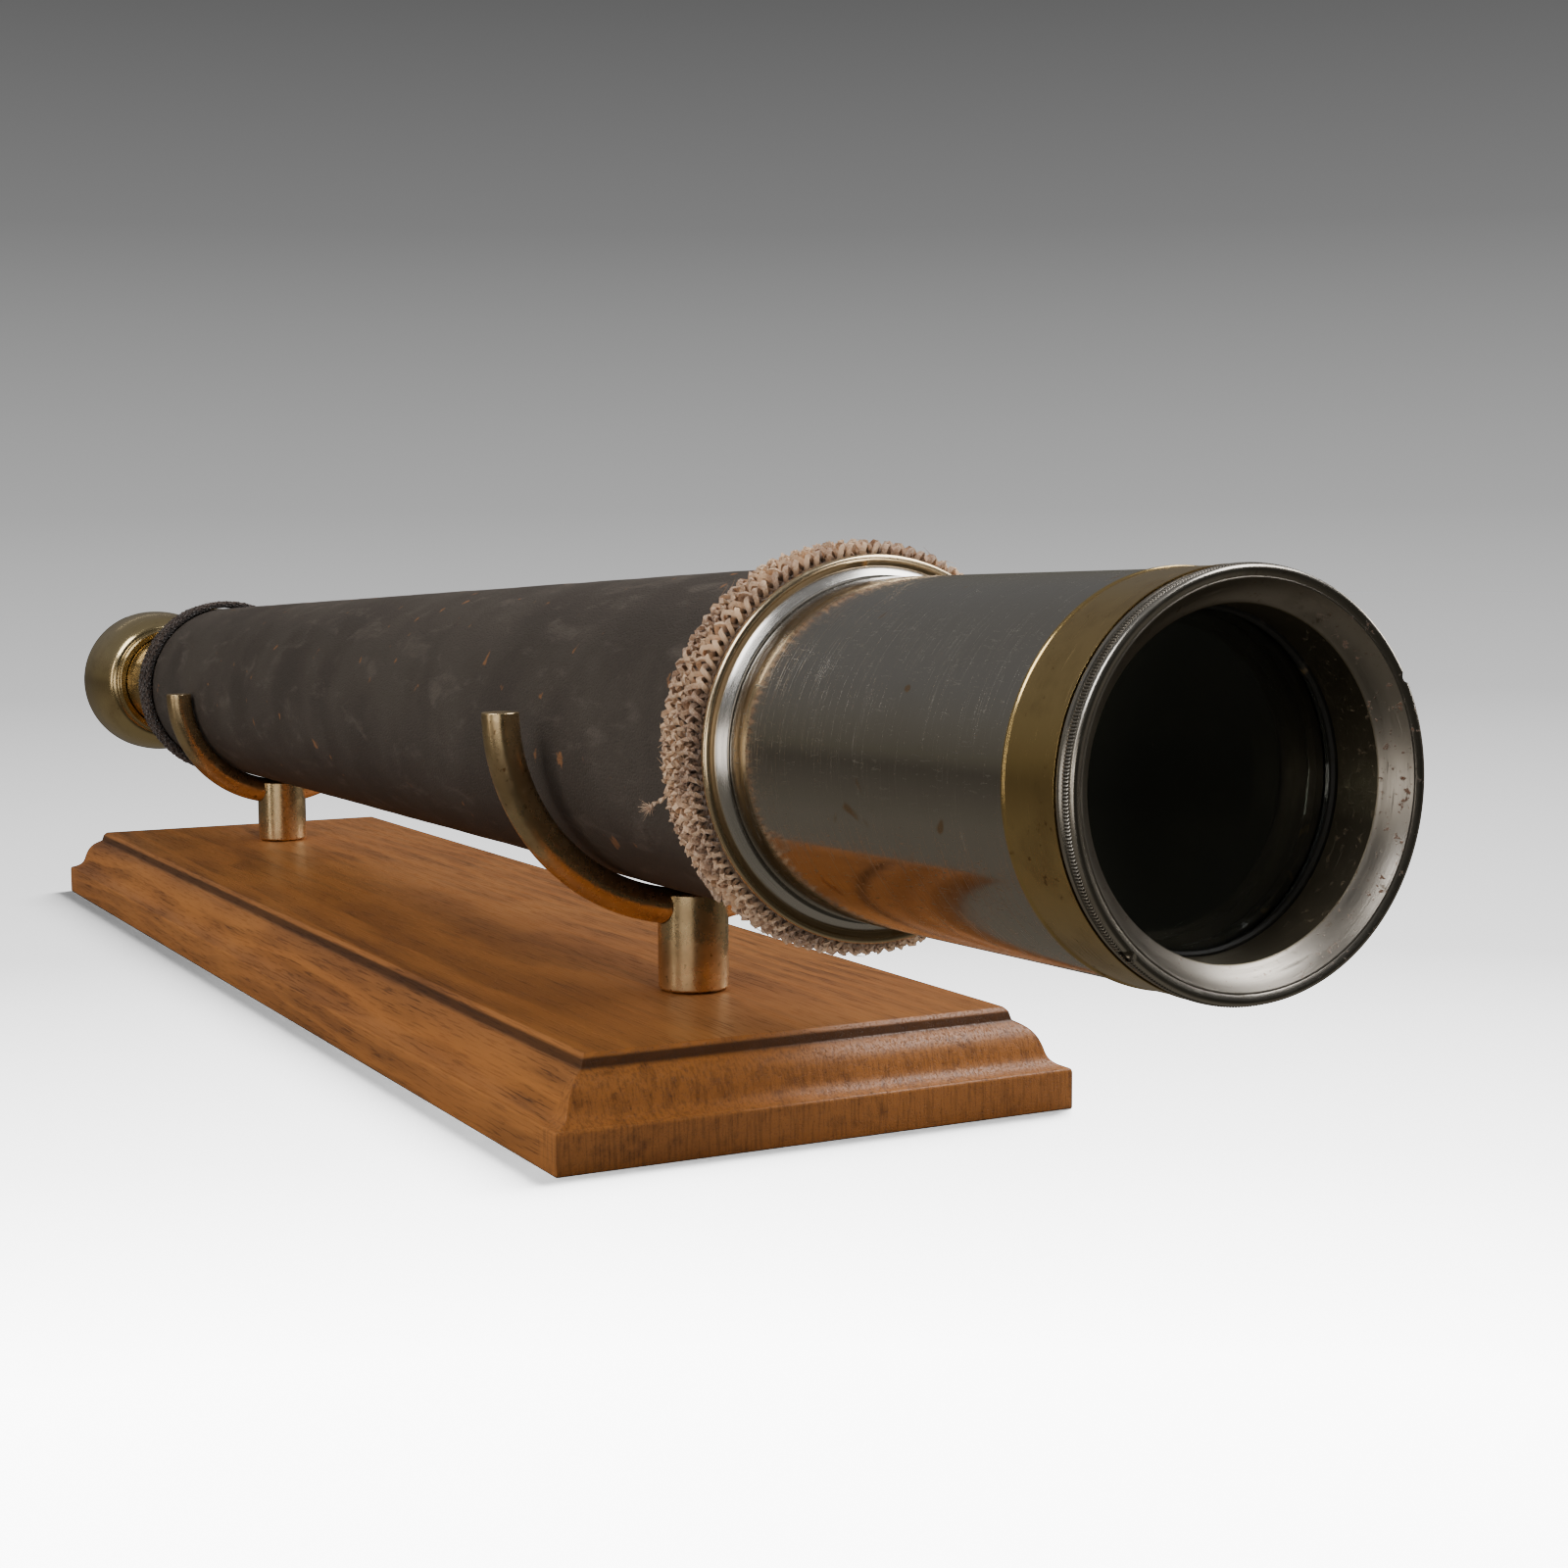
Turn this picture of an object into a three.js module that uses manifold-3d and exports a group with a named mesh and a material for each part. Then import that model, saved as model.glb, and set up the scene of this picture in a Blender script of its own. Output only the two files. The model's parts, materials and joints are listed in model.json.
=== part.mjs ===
// A single-draw ship's telescope with a sliding ray shade, lying in two brass cradles on a moulded oak base.
// Millimetres, +Z up. The origin is the centre of the base's underside, and +X is the way the telescope looks.
// Every turned piece is written as a list of [station, radius] corners and spun about its own axis.
import * as THREE from 'three';
import * as BufferGeometryUtils from 'three/addons/utils/BufferGeometryUtils.js';
import Module from 'manifold-3d';

const wasm = await Module();
wasm.setup();

// ---- Driving dimensions ----------------------------------------------------------------------

const clearance = 0.3;            // gap kept between neighbouring pieces
const edgeRound = 0.5;            // soft corner of a turned rim
const roundSegments = 32;         // facets of a large turned piece
const smallSegments = 24;         // facets of a piece inside the tubes

// Wooden base
const baseLength = 448;
const baseWidth = 117;
const baseHeight = 21;
const mouldingWidth = 10.6;       // how far the top face stands in from the plinth's side
const quirkOut = 1.4;             // small step under the top face
const quirkDrop = 2.8;
const ogeeOut = 6.2;              // where the round half of the ogee turns into the hollow half
const ogeeDrop = 8.3;
const ogeeBulge = 0.9;
const ledgeOut = 9.8;             // outer end of the hollow
const ledgeDrop = 12.4;
const plinthRound = 0.8;

// Cradles
const cradleX = 162;              // each side of the middle
const postRadius = 7.8;
const frontPostHeight = 22.4;     // from the base's top to the top of the hoop's rod
const rearPostHeight = 20.4;
const hoopRodRadius = 4;
const frontHoopGap = 6;           // between the leather's side and the hoop
const rearHoopGap = 0.4;
const hoopSides = 8;
const hoopSteps = 24;
const screwRadius = 2.5;
const screwHeadRadius = 5.5;
const screwHeadHeight = 3.5;
const screwRecess = 6;
const screwLand = 2.4;            // between the screw's end and the hoop, in the shorter post

// Barrel
const barrelFrontX = 243;         // where the leather meets the front ferrule
const barrelRearX = -238;
const leatherThickness = 1.4;
const barrelWall = 1.2;
const frontCollarWidth = 13.6;    // plaited cord collars
const frontCollarHeight = 4.7;
const rearCollarWidth = 14;
const rearCollarHeight = 2.8;
const rearCollarInset = 2;        // from the leather's rear end

// Front ferrule, nose tube and ray shade
const ferruleLength = 3.6;
const ferruleRim = 2;             // length of the rim that covers the leather's edge
const ferruleFace = 2.3;          // from the rim's top in to the foot
const ferruleFoot = 0.4;          // how far the foot stands out from the shade
const ferruleStep = 1.3;          // how far the front ferrule stands out from the leather
const ferruleSpigot = 12;
const spigotWall = 2.2;
const shadeRadius = 32.5;
const shadeWall = 1.1;
const shadeLength = 110.4;          // from the ferrule to the front of the end ring
const guideThickness = 0.9;
const guideLength = 7;
const noseWall = 1.1;

// End ring and band at the front of the shade
const bandStep = 0.5;             // how far the band stands out from the shade
const bandLength = 14;
const bandWall = 0.7;
const ringStep = 0.6;
const ringBeadWidth = 2.9;
const ringShoulder = 1.3;
const ringLip = 1.2;              // from the knurl in to the lip
const ringBevel = 4.2;            // depth of the hollow front face
const ringBevelWidth = 4.8;
const ringSleeve = 9.5;           // from the bevel's foot to the sleeve's rear end
const notchRadius = 1.2;          // the two half-round spanner notches
const notchAngles = [28, 226];    // degrees from +Y towards +Z

// Objective
const cellFlange = 4;
const cellLength = 20;
const cellWall = 1;
const cellLip = 1;
const cellLipWidth = 0.9;
const crownEdge = 3.6;
const crownFrontSag = 2;
const crownRearSag = 1.4;
const flintHollow = 1.2;
const spacerWidth = 2.6;
const spacerLand = 1.6;
const flintEdge = 4.4;
const flintRearSag = 0.7;
const retainerWidth = 2.6;
const retainerLand = 2.7;

// Baffles inside the barrel
const frontBaffleX = 175;
const frontBaffleBore = 23;
const rearBaffleX = 52;
const rearBaffleBore = 17;
const baffleLength = 6;
const baffleWall = 1.2;

// Draw tube, as it stands a little way out
const drawRadius = 18;
const drawWall = 0.9;
const drawFrontX = -50;
const drawOut = 61;               // how far it is pulled out at rest
const stopLength = 7;
const bushWall = 2.4;
const bushLength = 50;
const rearFerruleLength = 7;
const rearFerruleSpigot = 12;
const rearSpigotWall = 4;
const closedGap = 4;              // between the rear ferrule and the eye bell when closed

// Erector and eyepiece inside the draw tube
const innerTubeWall = 1.1;
const erectorInset = 16;
const erectorLength = 80;
const erectorLensEdge = 2.6;
const erectorLensSag = 1.9;
const erectorStopBore = 4.5;
const erectorStopWidth = 1.2;
const eyepieceLength = 84;
const fieldLensEdge = 2.6;
const fieldLensSag = 2.6;
const lensInset = 3;
const eyeLensRadius = 8;
const eyeLensEdge = 2.2;
const eyeLensSag = 1.5;
const eyeCellLength = 6;

// Eye bell and dust shutter
const bellLength = 42;
const bellNeckLength = 5;
const bellFlare = 20;
const bellCrown = 5;
const bellNeckWall = 2.2;
const bellSwell = 6.9;            // from the neck out to the bell's widest place
const bellRimIn = 4.9;            // from there in to the rim
const bellSocket = 14;            // how far the draw tube goes into the bell
const eyeCupDepth = 11;
const eyeCupRadius = 17;
const eyeHoleRadius = 4;
const eyePlate = 3.2;
const shutterThickness = 1.1;
const shutterOverlap = 1.6;       // how far the shutter covers the edge of the eye hole
const shutterBoss = 2.8;
const pivotRadius = 1.1;
const pivotDepth = 2.2;
const pivotHeadHeight = 1.1;
const knobRadius = 1.2;
const knobHeight = 1.8;

// ---- Finishes --------------------------------------------------------------------------------

function finish(color, roughness, metalness) {
  return new THREE.MeshStandardMaterial({ color, roughness, metalness });
}

const oak = finish(0x7a4a2b, 0.45, 0);
const brass = finish(0xc79a4b, 0.28, 1);
const nickel = finish(0xb9b2a2, 0.22, 1);
const leather = finish(0x2e2522, 0.65, 0);
const cord = finish(0x8d7763, 0.9, 0);
const darkCord = finish(0x35302d, 0.85, 0);
const blackened = finish(0x1b1a18, 0.7, 0.4);
const felt = finish(0x4a2024, 0.95, 0);
const glass = finish(0xbfd3cf, 0.05, 0);
const steel = finish(0x8c8c88, 0.35, 1);

// ---- Shaping helpers -------------------------------------------------------------------------

// Spins a closed outline of [station, radius] corners about the X axis.
function turned(corners, segments) {
  const outline = corners.map(([station, radius]) => new THREE.Vector2(radius, station));
  if (THREE.ShapeUtils.isClockWise(outline)) outline.reverse();
  outline.push(outline[0].clone());
  return new THREE.LatheGeometry(outline, segments).rotateZ(-Math.PI / 2).rotateX(Math.PI / 2);
}

// Corners along a quarter of an ellipse, from its end along the axis to its top.
function quarter(middle, foot, reach, rise, steps) {
  const points = [];
  for (let step = 0; step <= steps; step += 1) {
    const angle = (Math.PI / 2) * (step / steps);
    points.push([middle + reach * Math.cos(angle), foot + rise * Math.sin(angle)]);
  }
  return points;
}

// Points of an arc of a lens surface from the axis out to its edge.
function lensArc(vertex, edgeStation, edgeRadius, steps) {
  const points = [];
  for (let step = 0; step <= steps; step += 1) {
    const share = step / steps;
    points.push([vertex + (edgeStation - vertex) * share * share, edgeRadius * share]);
  }
  return points;
}

// A lens whose front edge lies at a station; a positive sag bulges outwards and a negative one is hollow.
function lens(frontEdge, thickness, radius, frontSag, rearSag) {
  const rearEdge = frontEdge - thickness;
  const front = lensArc(frontEdge + frontSag, frontEdge, radius, 3);
  const rear = lensArc(rearEdge - rearSag, rearEdge, radius, 3);
  return turnedSolid([...rear, ...front.reverse()], smallSegments);
}

// Spins an outline that starts and ends on the axis.
function turnedSolid(corners, segments) {
  const outline = corners.map(([station, radius]) => new THREE.Vector2(radius, station));
  if (THREE.ShapeUtils.isClockWise(outline)) outline.reverse();
  return new THREE.LatheGeometry(outline, segments).rotateZ(-Math.PI / 2).rotateX(Math.PI / 2);
}

function solidOf(geometry) {
  const bare = geometry.clone();
  bare.deleteAttribute('normal');
  bare.deleteAttribute('uv');
  const merged = BufferGeometryUtils.mergeVertices(bare, 1e-4);
  return new wasm.Manifold(new wasm.Mesh({
    numProp: 3,
    vertProperties: new Float32Array(merged.attributes.position.array),
    triVerts: new Uint32Array(merged.index.array),
  }));
}

function geometryOf(solid) {
  const mesh = solid.getMesh();
  const geometry = new THREE.BufferGeometry();
  geometry.setAttribute('position', new THREE.BufferAttribute(mesh.vertProperties, 3));
  geometry.setIndex(new THREE.BufferAttribute(mesh.triVerts, 1));
  return geometry;
}

function cut(body, ...tools) {
  return geometryOf(tools.reduce((solid, tool) => solid.subtract(solidOf(tool)), solidOf(body)));
}

// An upright cylinder between two heights.
function upright(radius, bottom, top, segments, x = 0) {
  return new THREE.CylinderGeometry(radius, radius, top - bottom, segments)
    .rotateX(Math.PI / 2)
    .translate(x, 0, (bottom + top) / 2);
}

// A straight cylinder along the telescope's axis between two stations.
function axial(radius, rear, front, segments) {
  return new THREE.CylinderGeometry(radius, radius, front - rear, segments)
    .rotateZ(Math.PI / 2)
    .translate((rear + front) / 2, 0, 0);
}

function tube(rear, front, inner, outer, segments) {
  return turned([[rear, inner], [rear, outer], [front, outer], [front, inner]], segments);
}

// ---- Sizes that follow from the ones above ----------------------------------------------------

const screwReach = Math.min(frontPostHeight, rearPostHeight) - 2 * hoopRodRadius - screwLand;
const shadeInner = shadeRadius - shadeWall;
const guideOuter = shadeInner - clearance;
const guideInner = guideOuter - guideThickness;
const noseOuter = guideInner - clearance;
const noseInner = noseOuter - noseWall;
const bushInner = drawRadius + clearance;
const bushOuter = bushInner + bushWall;

// The barrel and its leather are as wide as the spigots inside their two ends ask for.
const coverOverSpigot = clearance + barrelWall + clearance + leatherThickness;
const leatherFrontRadius = noseOuter + clearance + spigotWall + coverOverSpigot;
const leatherRearRadius = bushOuter + clearance + rearSpigotWall + coverOverSpigot;
const ferruleRadius = leatherFrontRadius + ferruleStep;

const bandRadius = shadeRadius + bandStep;
const ringRadius = shadeRadius + ringStep;
const ringLipRadius = ringRadius - ringLip;
const ringBore = ringLipRadius - ringBevelWidth;
const bellNeckRadius = drawRadius + clearance + bellNeckWall;
const bellRadius = bellNeckRadius + bellSwell;
const bellRimRadius = bellRadius - bellRimIn;
const shutterRadius = eyeHoleRadius + shutterOverlap;
const shutterPivot = eyeHoleRadius + shutterRadius;   // from the eye hole's middle down to the pivot

// ---- The stand -------------------------------------------------------------------------------

const leatherSlope = (leatherFrontRadius - leatherRearRadius) / (barrelFrontX - barrelRearX);

// The outside of the leather, which tapers towards the eye.
function leatherRadius(x) {
  return leatherRearRadius + leatherSlope * (x - barrelRearX);
}

const frontHoopRadius = leatherRadius(cradleX) + frontHoopGap + hoopRodRadius;
const rearHoopRadius = leatherRadius(-cradleX) + rearHoopGap + hoopRodRadius;

// The moulded outline of the base across one of its widths: a fillet, an ogee, a ledge and the plinth.
function mouldedOutline(halfWidth) {
  const top = halfWidth - mouldingWidth;
  const shape = new THREE.Shape();
  const side = (out, drop) => [top + out, baseHeight - drop];
  const half = [
    ['line', side(0, 0)],
    ['line', side(quirkOut * 0.6, quirkDrop * 0.35)],
    ['line', side(quirkOut, quirkDrop)],
    ['curve', bulged(side(quirkOut, quirkDrop), side(ogeeOut, ogeeDrop), ogeeBulge), side(ogeeOut, ogeeDrop)],
    ['curve', bulged(side(ogeeOut, ogeeDrop), side(ledgeOut, ledgeDrop), -ogeeBulge), side(ledgeOut, ledgeDrop)],
    ['curve', side(mouldingWidth, ledgeDrop), side(mouldingWidth, ledgeDrop + plinthRound)],
    ['line', side(mouldingWidth, baseHeight)],
  ];
  shape.moveTo(...half[0][1]);
  for (const [kind, ...points] of half.slice(1)) {
    if (kind === 'line') shape.lineTo(...points[0]);
    else shape.quadraticCurveTo(...points[0], ...points[1]);
  }
  const right = shape.getPoints(4);
  const left = right.map((point) => new THREE.Vector2(-point.x, point.y)).reverse();
  return new THREE.Shape([...right, ...left]);
}

// The handle of a curve whose middle stands off its chord, outwards when the bulge is positive.
function bulged(from, to, bulge) {
  const run = [to[0] - from[0], to[1] - from[1]];
  const length = Math.hypot(...run);
  const lift = (2 * bulge) / length;
  return [(from[0] + to[0]) / 2 - run[1] * lift, (from[1] + to[1]) / 2 + run[0] * lift];
}

function moulding(halfWidth, length) {
  return new THREE.ExtrudeGeometry(mouldedOutline(halfWidth), { depth: length, bevelEnabled: false, steps: 1 })
    .translate(0, 0, -length / 2)
    .rotateX(Math.PI / 2);
}

const screwHoleRadius = screwRadius + clearance;

function makeBase() {
  const long = moulding(baseWidth / 2, baseLength + 2).rotateZ(Math.PI / 2);
  const across = moulding(baseLength / 2, baseWidth + 2);
  let solid = solidOf(long).intersect(solidOf(across));
  for (const x of [-cradleX, cradleX]) {
    const recess = upright(screwHeadRadius + clearance, -1, screwRecess, smallSegments, x);
    const hole = upright(screwHoleRadius, -1, baseHeight + 1, smallSegments, x);
    solid = solid.subtract(solidOf(recess)).subtract(solidOf(hole));
  }
  return geometryOf(solid);
}

const postFoot = baseHeight + clearance;

// The hoop is a half circle of round rod, open upwards, standing across the telescope.
function hoop(x, postHeight, hoopRadius, rodRadius) {
  const middle = baseHeight + postHeight - hoopRodRadius + hoopRadius;
  const points = [];
  for (let step = 0; step <= hoopSteps; step += 1) {
    const angle = Math.PI * (1 + step / hoopSteps);
    points.push(new THREE.Vector3(x, hoopRadius * Math.cos(angle), middle + hoopRadius * Math.sin(angle)));
  }
  const section = new THREE.Shape();
  for (let side = 0; side < hoopSides; side += 1) {
    const angle = (2 * Math.PI * side) / hoopSides;
    const corner = [rodRadius * Math.cos(angle), rodRadius * Math.sin(angle)];
    if (side === 0) section.moveTo(...corner);
    else section.lineTo(...corner);
  }
  section.closePath();
  const route = new THREE.CatmullRomCurve3(points);
  return new THREE.ExtrudeGeometry(section, { extrudePath: route, steps: hoopSteps, bevelEnabled: false });
}

function post(x, postHeight, hoopRadius) {
  const top = baseHeight + postHeight - clearance;
  return cut(
    upright(postRadius, postFoot, top, roundSegments, x),
    hoop(x, postHeight, hoopRadius, hoopRodRadius + 2 * clearance),
    upright(screwHoleRadius, postFoot - 1, baseHeight + screwReach + clearance, smallSegments, x),
  );
}

function screw(x) {
  const headTop = screwRecess - clearance;
  const shank = upright(screwRadius, headTop - 1, baseHeight + screwReach, smallSegments, x);
  const head = upright(screwHeadRadius, headTop - screwHeadHeight, headTop, smallSegments, x);
  const slot = new THREE.BoxGeometry(2 * screwHeadRadius + 2, 1.4, 2.4).translate(x, 0, headTop - screwHeadHeight);
  return geometryOf(solidOf(shank).add(solidOf(head)).subtract(solidOf(slot)));
}

// ---- The telescope's fixed pieces, along its own axis -----------------------------------------

const coverInner = (x) => leatherRadius(x) - leatherThickness;
const barrelOuter = (x) => coverInner(x) - clearance;
const barrelInner = (x) => barrelOuter(x) - barrelWall;

function tapered(rear, front, inner, outer, segments) {
  return turned([[rear, inner(rear)], [rear, outer(rear)], [front, outer(front)], [front, inner(front)]], segments);
}

function cordCollar(rear, width, height) {
  const front = rear + width;
  const foot = (x) => leatherRadius(x) + clearance;
  const crown = (share, lift) => [rear + width * share, leatherRadius(rear + width * share) + height * lift];
  return turned([
    [rear, foot(rear)], crown(0, 0.5), crown(0.16, 0.86), crown(0.36, 1),
    crown(0.64, 1), crown(0.84, 0.86), crown(1, 0.5), [front, foot(front)],
  ], roundSegments);
}

const ferruleFront = barrelFrontX + ferruleLength;
const spigotRear = barrelFrontX - ferruleSpigot;
const spigotOuter = barrelInner(spigotRear) - clearance;

function frontFerrule() {
  const seat = barrelFrontX + clearance;
  const rim = seat + ferruleRim;
  const inner = noseOuter + clearance;
  return turned([
    [spigotRear, inner], [spigotRear, spigotOuter], [seat, spigotOuter], [seat, ferruleRadius - edgeRound],
    [seat + edgeRound, ferruleRadius], [rim - edgeRound, ferruleRadius], [rim, ferruleRadius - edgeRound],
    [rim, ferruleRadius - ferruleFace], [ferruleFront, shadeRadius + ferruleFoot], [ferruleFront, inner],
  ], roundSegments);
}

const ringFront = ferruleFront + shadeLength;
const sleeveRear = ringFront - ringBevel - ringSleeve;
const cellFront = sleeveRear - clearance;
const flangeRear = cellFront - cellFlange;
const cellRear = cellFront - cellLength;
const cellOuter = noseInner - clearance;
const cellInner = cellOuter - cellWall;
const lensRadius = cellInner - clearance;
const flangeRadius = shadeInner - clearance;

function objectiveCell() {
  const lipInner = cellInner - cellLipWidth - clearance;
  return turned([
    [cellRear, cellInner], [cellRear, cellOuter], [flangeRear, cellOuter], [flangeRear, flangeRadius],
    [cellFront, flangeRadius], [cellFront, lipInner], [cellFront - cellLip, lipInner], [cellFront - cellLip, cellInner],
  ], roundSegments);
}

const crownFront = cellFront - cellLip - clearance;
const spacerFront = crownFront - crownEdge - clearance;
const flintFront = spacerFront - spacerWidth - clearance;
const retainerFront = flintFront - flintEdge - clearance;

function baffle(x, bore) {
  const rear = x - baffleLength;
  const outer = barrelInner(rear) - clearance;
  return turned([
    [rear, outer - baffleWall], [rear, outer], [x, outer], [x, bore],
    [x - baffleWall, bore], [x - baffleWall, outer - baffleWall],
  ], smallSegments);
}

const rearFerruleRear = barrelRearX - clearance - rearFerruleLength;
const bushFront = rearFerruleRear + bushLength;

function rearFerrule() {
  const inner = bushOuter + clearance;
  const spigotFront = barrelRearX + rearFerruleSpigot;
  const spigot = barrelInner(barrelRearX) - clearance;
  const seat = barrelRearX - clearance;
  return turned([
    [rearFerruleRear, inner], [rearFerruleRear, leatherRearRadius - 1.6], [rearFerruleRear + 1.6, leatherRearRadius],
    [seat, leatherRearRadius], [seat, spigot], [spigotFront, spigot], [spigotFront, inner],
  ], roundSegments);
}

// ---- The ray shade ----------------------------------------------------------------------------

const shadeRear = ferruleFront + clearance;
const beadRear = ringFront - ringBeadWidth;
const shoulderRear = beadRear - ringShoulder;
const bandFront = shoulderRear - clearance;
const bandRear = bandFront - bandLength;
const bandInner = bandRadius - bandWall;

// The shade's front end is turned down to take the brass band.
function shadeTube() {
  const neck = bandInner - clearance;
  return turned([
    [shadeRear, shadeInner], [shadeRear, shadeRadius], [bandRear - clearance, shadeRadius],
    [bandRear - clearance, neck], [bandFront, neck], [bandFront, shadeInner],
  ], roundSegments);
}

// The end ring screws into the shade; an open groove behind its face saves metal.
function endRing() {
  const spigot = shadeInner - clearance;
  const face = ringFront - ringBevel;
  const sleeveWall = 1.4;
  const groove = face - 3;
  const root = ringRadius - 0.7;
  const ring = turned([
    [sleeveRear, ringBore], [sleeveRear, ringBore + sleeveWall], [groove, ringBore + sleeveWall],
    [groove, spigot - sleeveWall], [sleeveRear, spigot - sleeveWall], [sleeveRear, spigot],
    [shoulderRear, spigot], [shoulderRear, root], [beadRear, root], [beadRear, ringRadius - 0.4],
    [beadRear + 0.6, ringRadius], [ringFront - 1.2, ringRadius], [ringFront - 0.3, ringLipRadius + 0.5],
    [ringFront, ringLipRadius], [ringFront - ringBevel * 0.6, (ringLipRadius + ringBore) / 2], [face, ringBore],
  ], roundSegments);
  const notches = notchAngles.map((degrees) => axial(notchRadius, ringFront - 2, ringFront + 1, 12)
    .translate(0, ringRadius, 0)
    .rotateX(THREE.MathUtils.degToRad(degrees)));
  return cut(ring, ...notches);
}

const guideRear = shadeRear + 1;

// ---- The draw tube with the erector and the eyepiece ------------------------------------------

const drawInner = drawRadius - drawWall;
const bellFront = rearFerruleRear - closedGap - drawOut;
const bellRear = bellFront - bellLength;
const drawRear = bellFront - bellSocket;
const innerTubeOuter = drawInner - clearance;
const innerTubeInner = innerTubeOuter - innerTubeWall;
const innerLensRadius = innerTubeInner - clearance;
const erectorFront = drawFrontX - erectorInset;
const erectorRear = erectorFront - erectorLength;
const cupFace = bellRear + eyeCupDepth;
const plateFront = cupFace + eyePlate;
const eyepieceRear = plateFront + clearance;
const eyepieceFront = eyepieceRear + eyepieceLength;
const eyeCellInner = eyeLensRadius + clearance;

function drawStop() {
  const rear = drawFrontX - stopLength;
  return tube(rear, drawFrontX, drawRadius + clearance, bushOuter, smallSegments);
}

function eyeBell() {
  const crownStart = bellFront - bellNeckLength - bellFlare;
  const crownEnd = crownStart - bellCrown;
  const flare = quarter(crownStart, bellNeckRadius, bellFlare, bellRadius - bellNeckRadius, 5);
  const rim = quarter(crownEnd, bellRimRadius, bellRear - crownEnd, bellRadius - bellRimRadius, 4).reverse();
  const body = turned([
    [bellFront, drawRadius + clearance], [bellFront, bellNeckRadius], ...flare, ...rim,
    [bellRear, bellRimRadius - 1.5], [bellRear + 1.5, bellRimRadius - 3], [cupFace, eyeCupRadius],
    [cupFace, eyeHoleRadius], [plateFront, eyeHoleRadius], [plateFront, innerTubeOuter + clearance],
    [drawRear - clearance, innerTubeOuter + clearance], [drawRear - clearance, drawRadius + clearance],
  ], roundSegments);
  const pivotHole = axial(pivotRadius + clearance, cupFace - 1, cupFace + pivotDepth + clearance, 12)
    .translate(0, 0, -shutterPivot);
  return cut(body, pivotHole);
}

const shutterFront = cupFace - clearance;
const shutterRear = shutterFront - shutterThickness;

// A disc over the eye hole and a boss round the pivot, with straight sides between the two.
function dustShutter() {
  const spread = Math.PI - Math.acos((shutterRadius - shutterBoss) / shutterPivot);
  const shape = new THREE.Shape();
  shape.absarc(0, 0, shutterRadius, -spread, spread, false);
  shape.absarc(-shutterPivot, 0, shutterBoss, spread, 2 * Math.PI - spread, false);
  shape.closePath();
  const hole = new THREE.Path();
  hole.absarc(-shutterPivot, 0, pivotRadius + clearance, 0, 2 * Math.PI, true);
  shape.holes.push(hole);
  const plate = new THREE.ExtrudeGeometry(shape, { depth: shutterThickness, bevelEnabled: false, curveSegments: 12 })
    .rotateY(-Math.PI / 2)
    .translate(shutterFront, 0, 0);
  const knob = axial(knobRadius, shutterRear - knobHeight, shutterRear + 0.5, 12);
  return geometryOf(solidOf(plate).add(solidOf(knob)));
}

function shutterScrew() {
  const headFront = shutterRear - clearance;
  const shank = axial(pivotRadius, headFront - 0.5, cupFace + pivotDepth, 12);
  const head = axial(shutterBoss - 0.4, headFront - pivotHeadHeight, headFront, 16);
  return geometryOf(solidOf(shank).add(solidOf(head)).translate(0, 0, -shutterPivot));
}

// ---- Assembly ---------------------------------------------------------------------------------

function piece(group, name, geometry, material) {
  const mesh = new THREE.Mesh(geometry, material);
  mesh.name = name;
  group.add(mesh);
}

const object = new THREE.Group();
const stand = new THREE.Group();
const telescope = new THREE.Group();
const rayShade = new THREE.Group();
const draw = new THREE.Group();
object.add(stand, telescope);
telescope.add(rayShade, draw);

piece(stand, 'wood_base', makeBase(), oak);
piece(stand, 'front_post', post(cradleX, frontPostHeight, frontHoopRadius), brass);
piece(stand, 'rear_post', post(-cradleX, rearPostHeight, rearHoopRadius), brass);
piece(stand, 'front_hoop', hoop(cradleX, frontPostHeight, frontHoopRadius, hoopRodRadius), brass);
piece(stand, 'rear_hoop', hoop(-cradleX, rearPostHeight, rearHoopRadius, hoopRodRadius), brass);
piece(stand, 'front_post_screw', screw(cradleX), steel);
piece(stand, 'rear_post_screw', screw(-cradleX), steel);

// The barrel lies on the hoops' rods, so its slope comes from the posts and its own taper.
const seatFront = baseHeight + frontPostHeight + clearance + leatherRadius(cradleX);
const seatRear = baseHeight + rearPostHeight + clearance + leatherRadius(-cradleX);
telescope.position.z = (seatFront + seatRear) / 2;
telescope.rotation.y = -Math.atan2(seatFront - seatRear, 2 * cradleX);

piece(telescope, 'barrel_tube', tapered(barrelRearX, barrelFrontX, barrelInner, barrelOuter, roundSegments), brass);
piece(telescope, 'leather_cover', tapered(barrelRearX, barrelFrontX, coverInner, leatherRadius, roundSegments), leather);
piece(telescope, 'front_cord_collar',
  cordCollar(barrelFrontX - frontCollarWidth, frontCollarWidth, frontCollarHeight), cord);
piece(telescope, 'rear_cord_collar',
  cordCollar(barrelRearX + rearCollarInset, rearCollarWidth, rearCollarHeight), darkCord);
piece(telescope, 'front_ferrule', frontFerrule(), nickel);
piece(telescope, 'rear_ferrule', rearFerrule(), brass);
piece(telescope, 'draw_bush', tube(rearFerruleRear, bushFront, bushInner, bushOuter, smallSegments), brass);
piece(telescope, 'nose_tube', tube(spigotRear, flangeRear - clearance, noseInner, noseOuter, roundSegments), brass);
piece(telescope, 'objective_cell', objectiveCell(), blackened);
piece(telescope, 'crown_lens', lens(crownFront, crownEdge, lensRadius, crownFrontSag, crownRearSag), glass);
piece(telescope, 'lens_spacer',
  tube(spacerFront - spacerWidth, spacerFront, lensRadius - spacerLand, lensRadius, smallSegments), blackened);
piece(telescope, 'flint_lens', lens(flintFront, flintEdge, lensRadius, -flintHollow, flintRearSag), glass);
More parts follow.
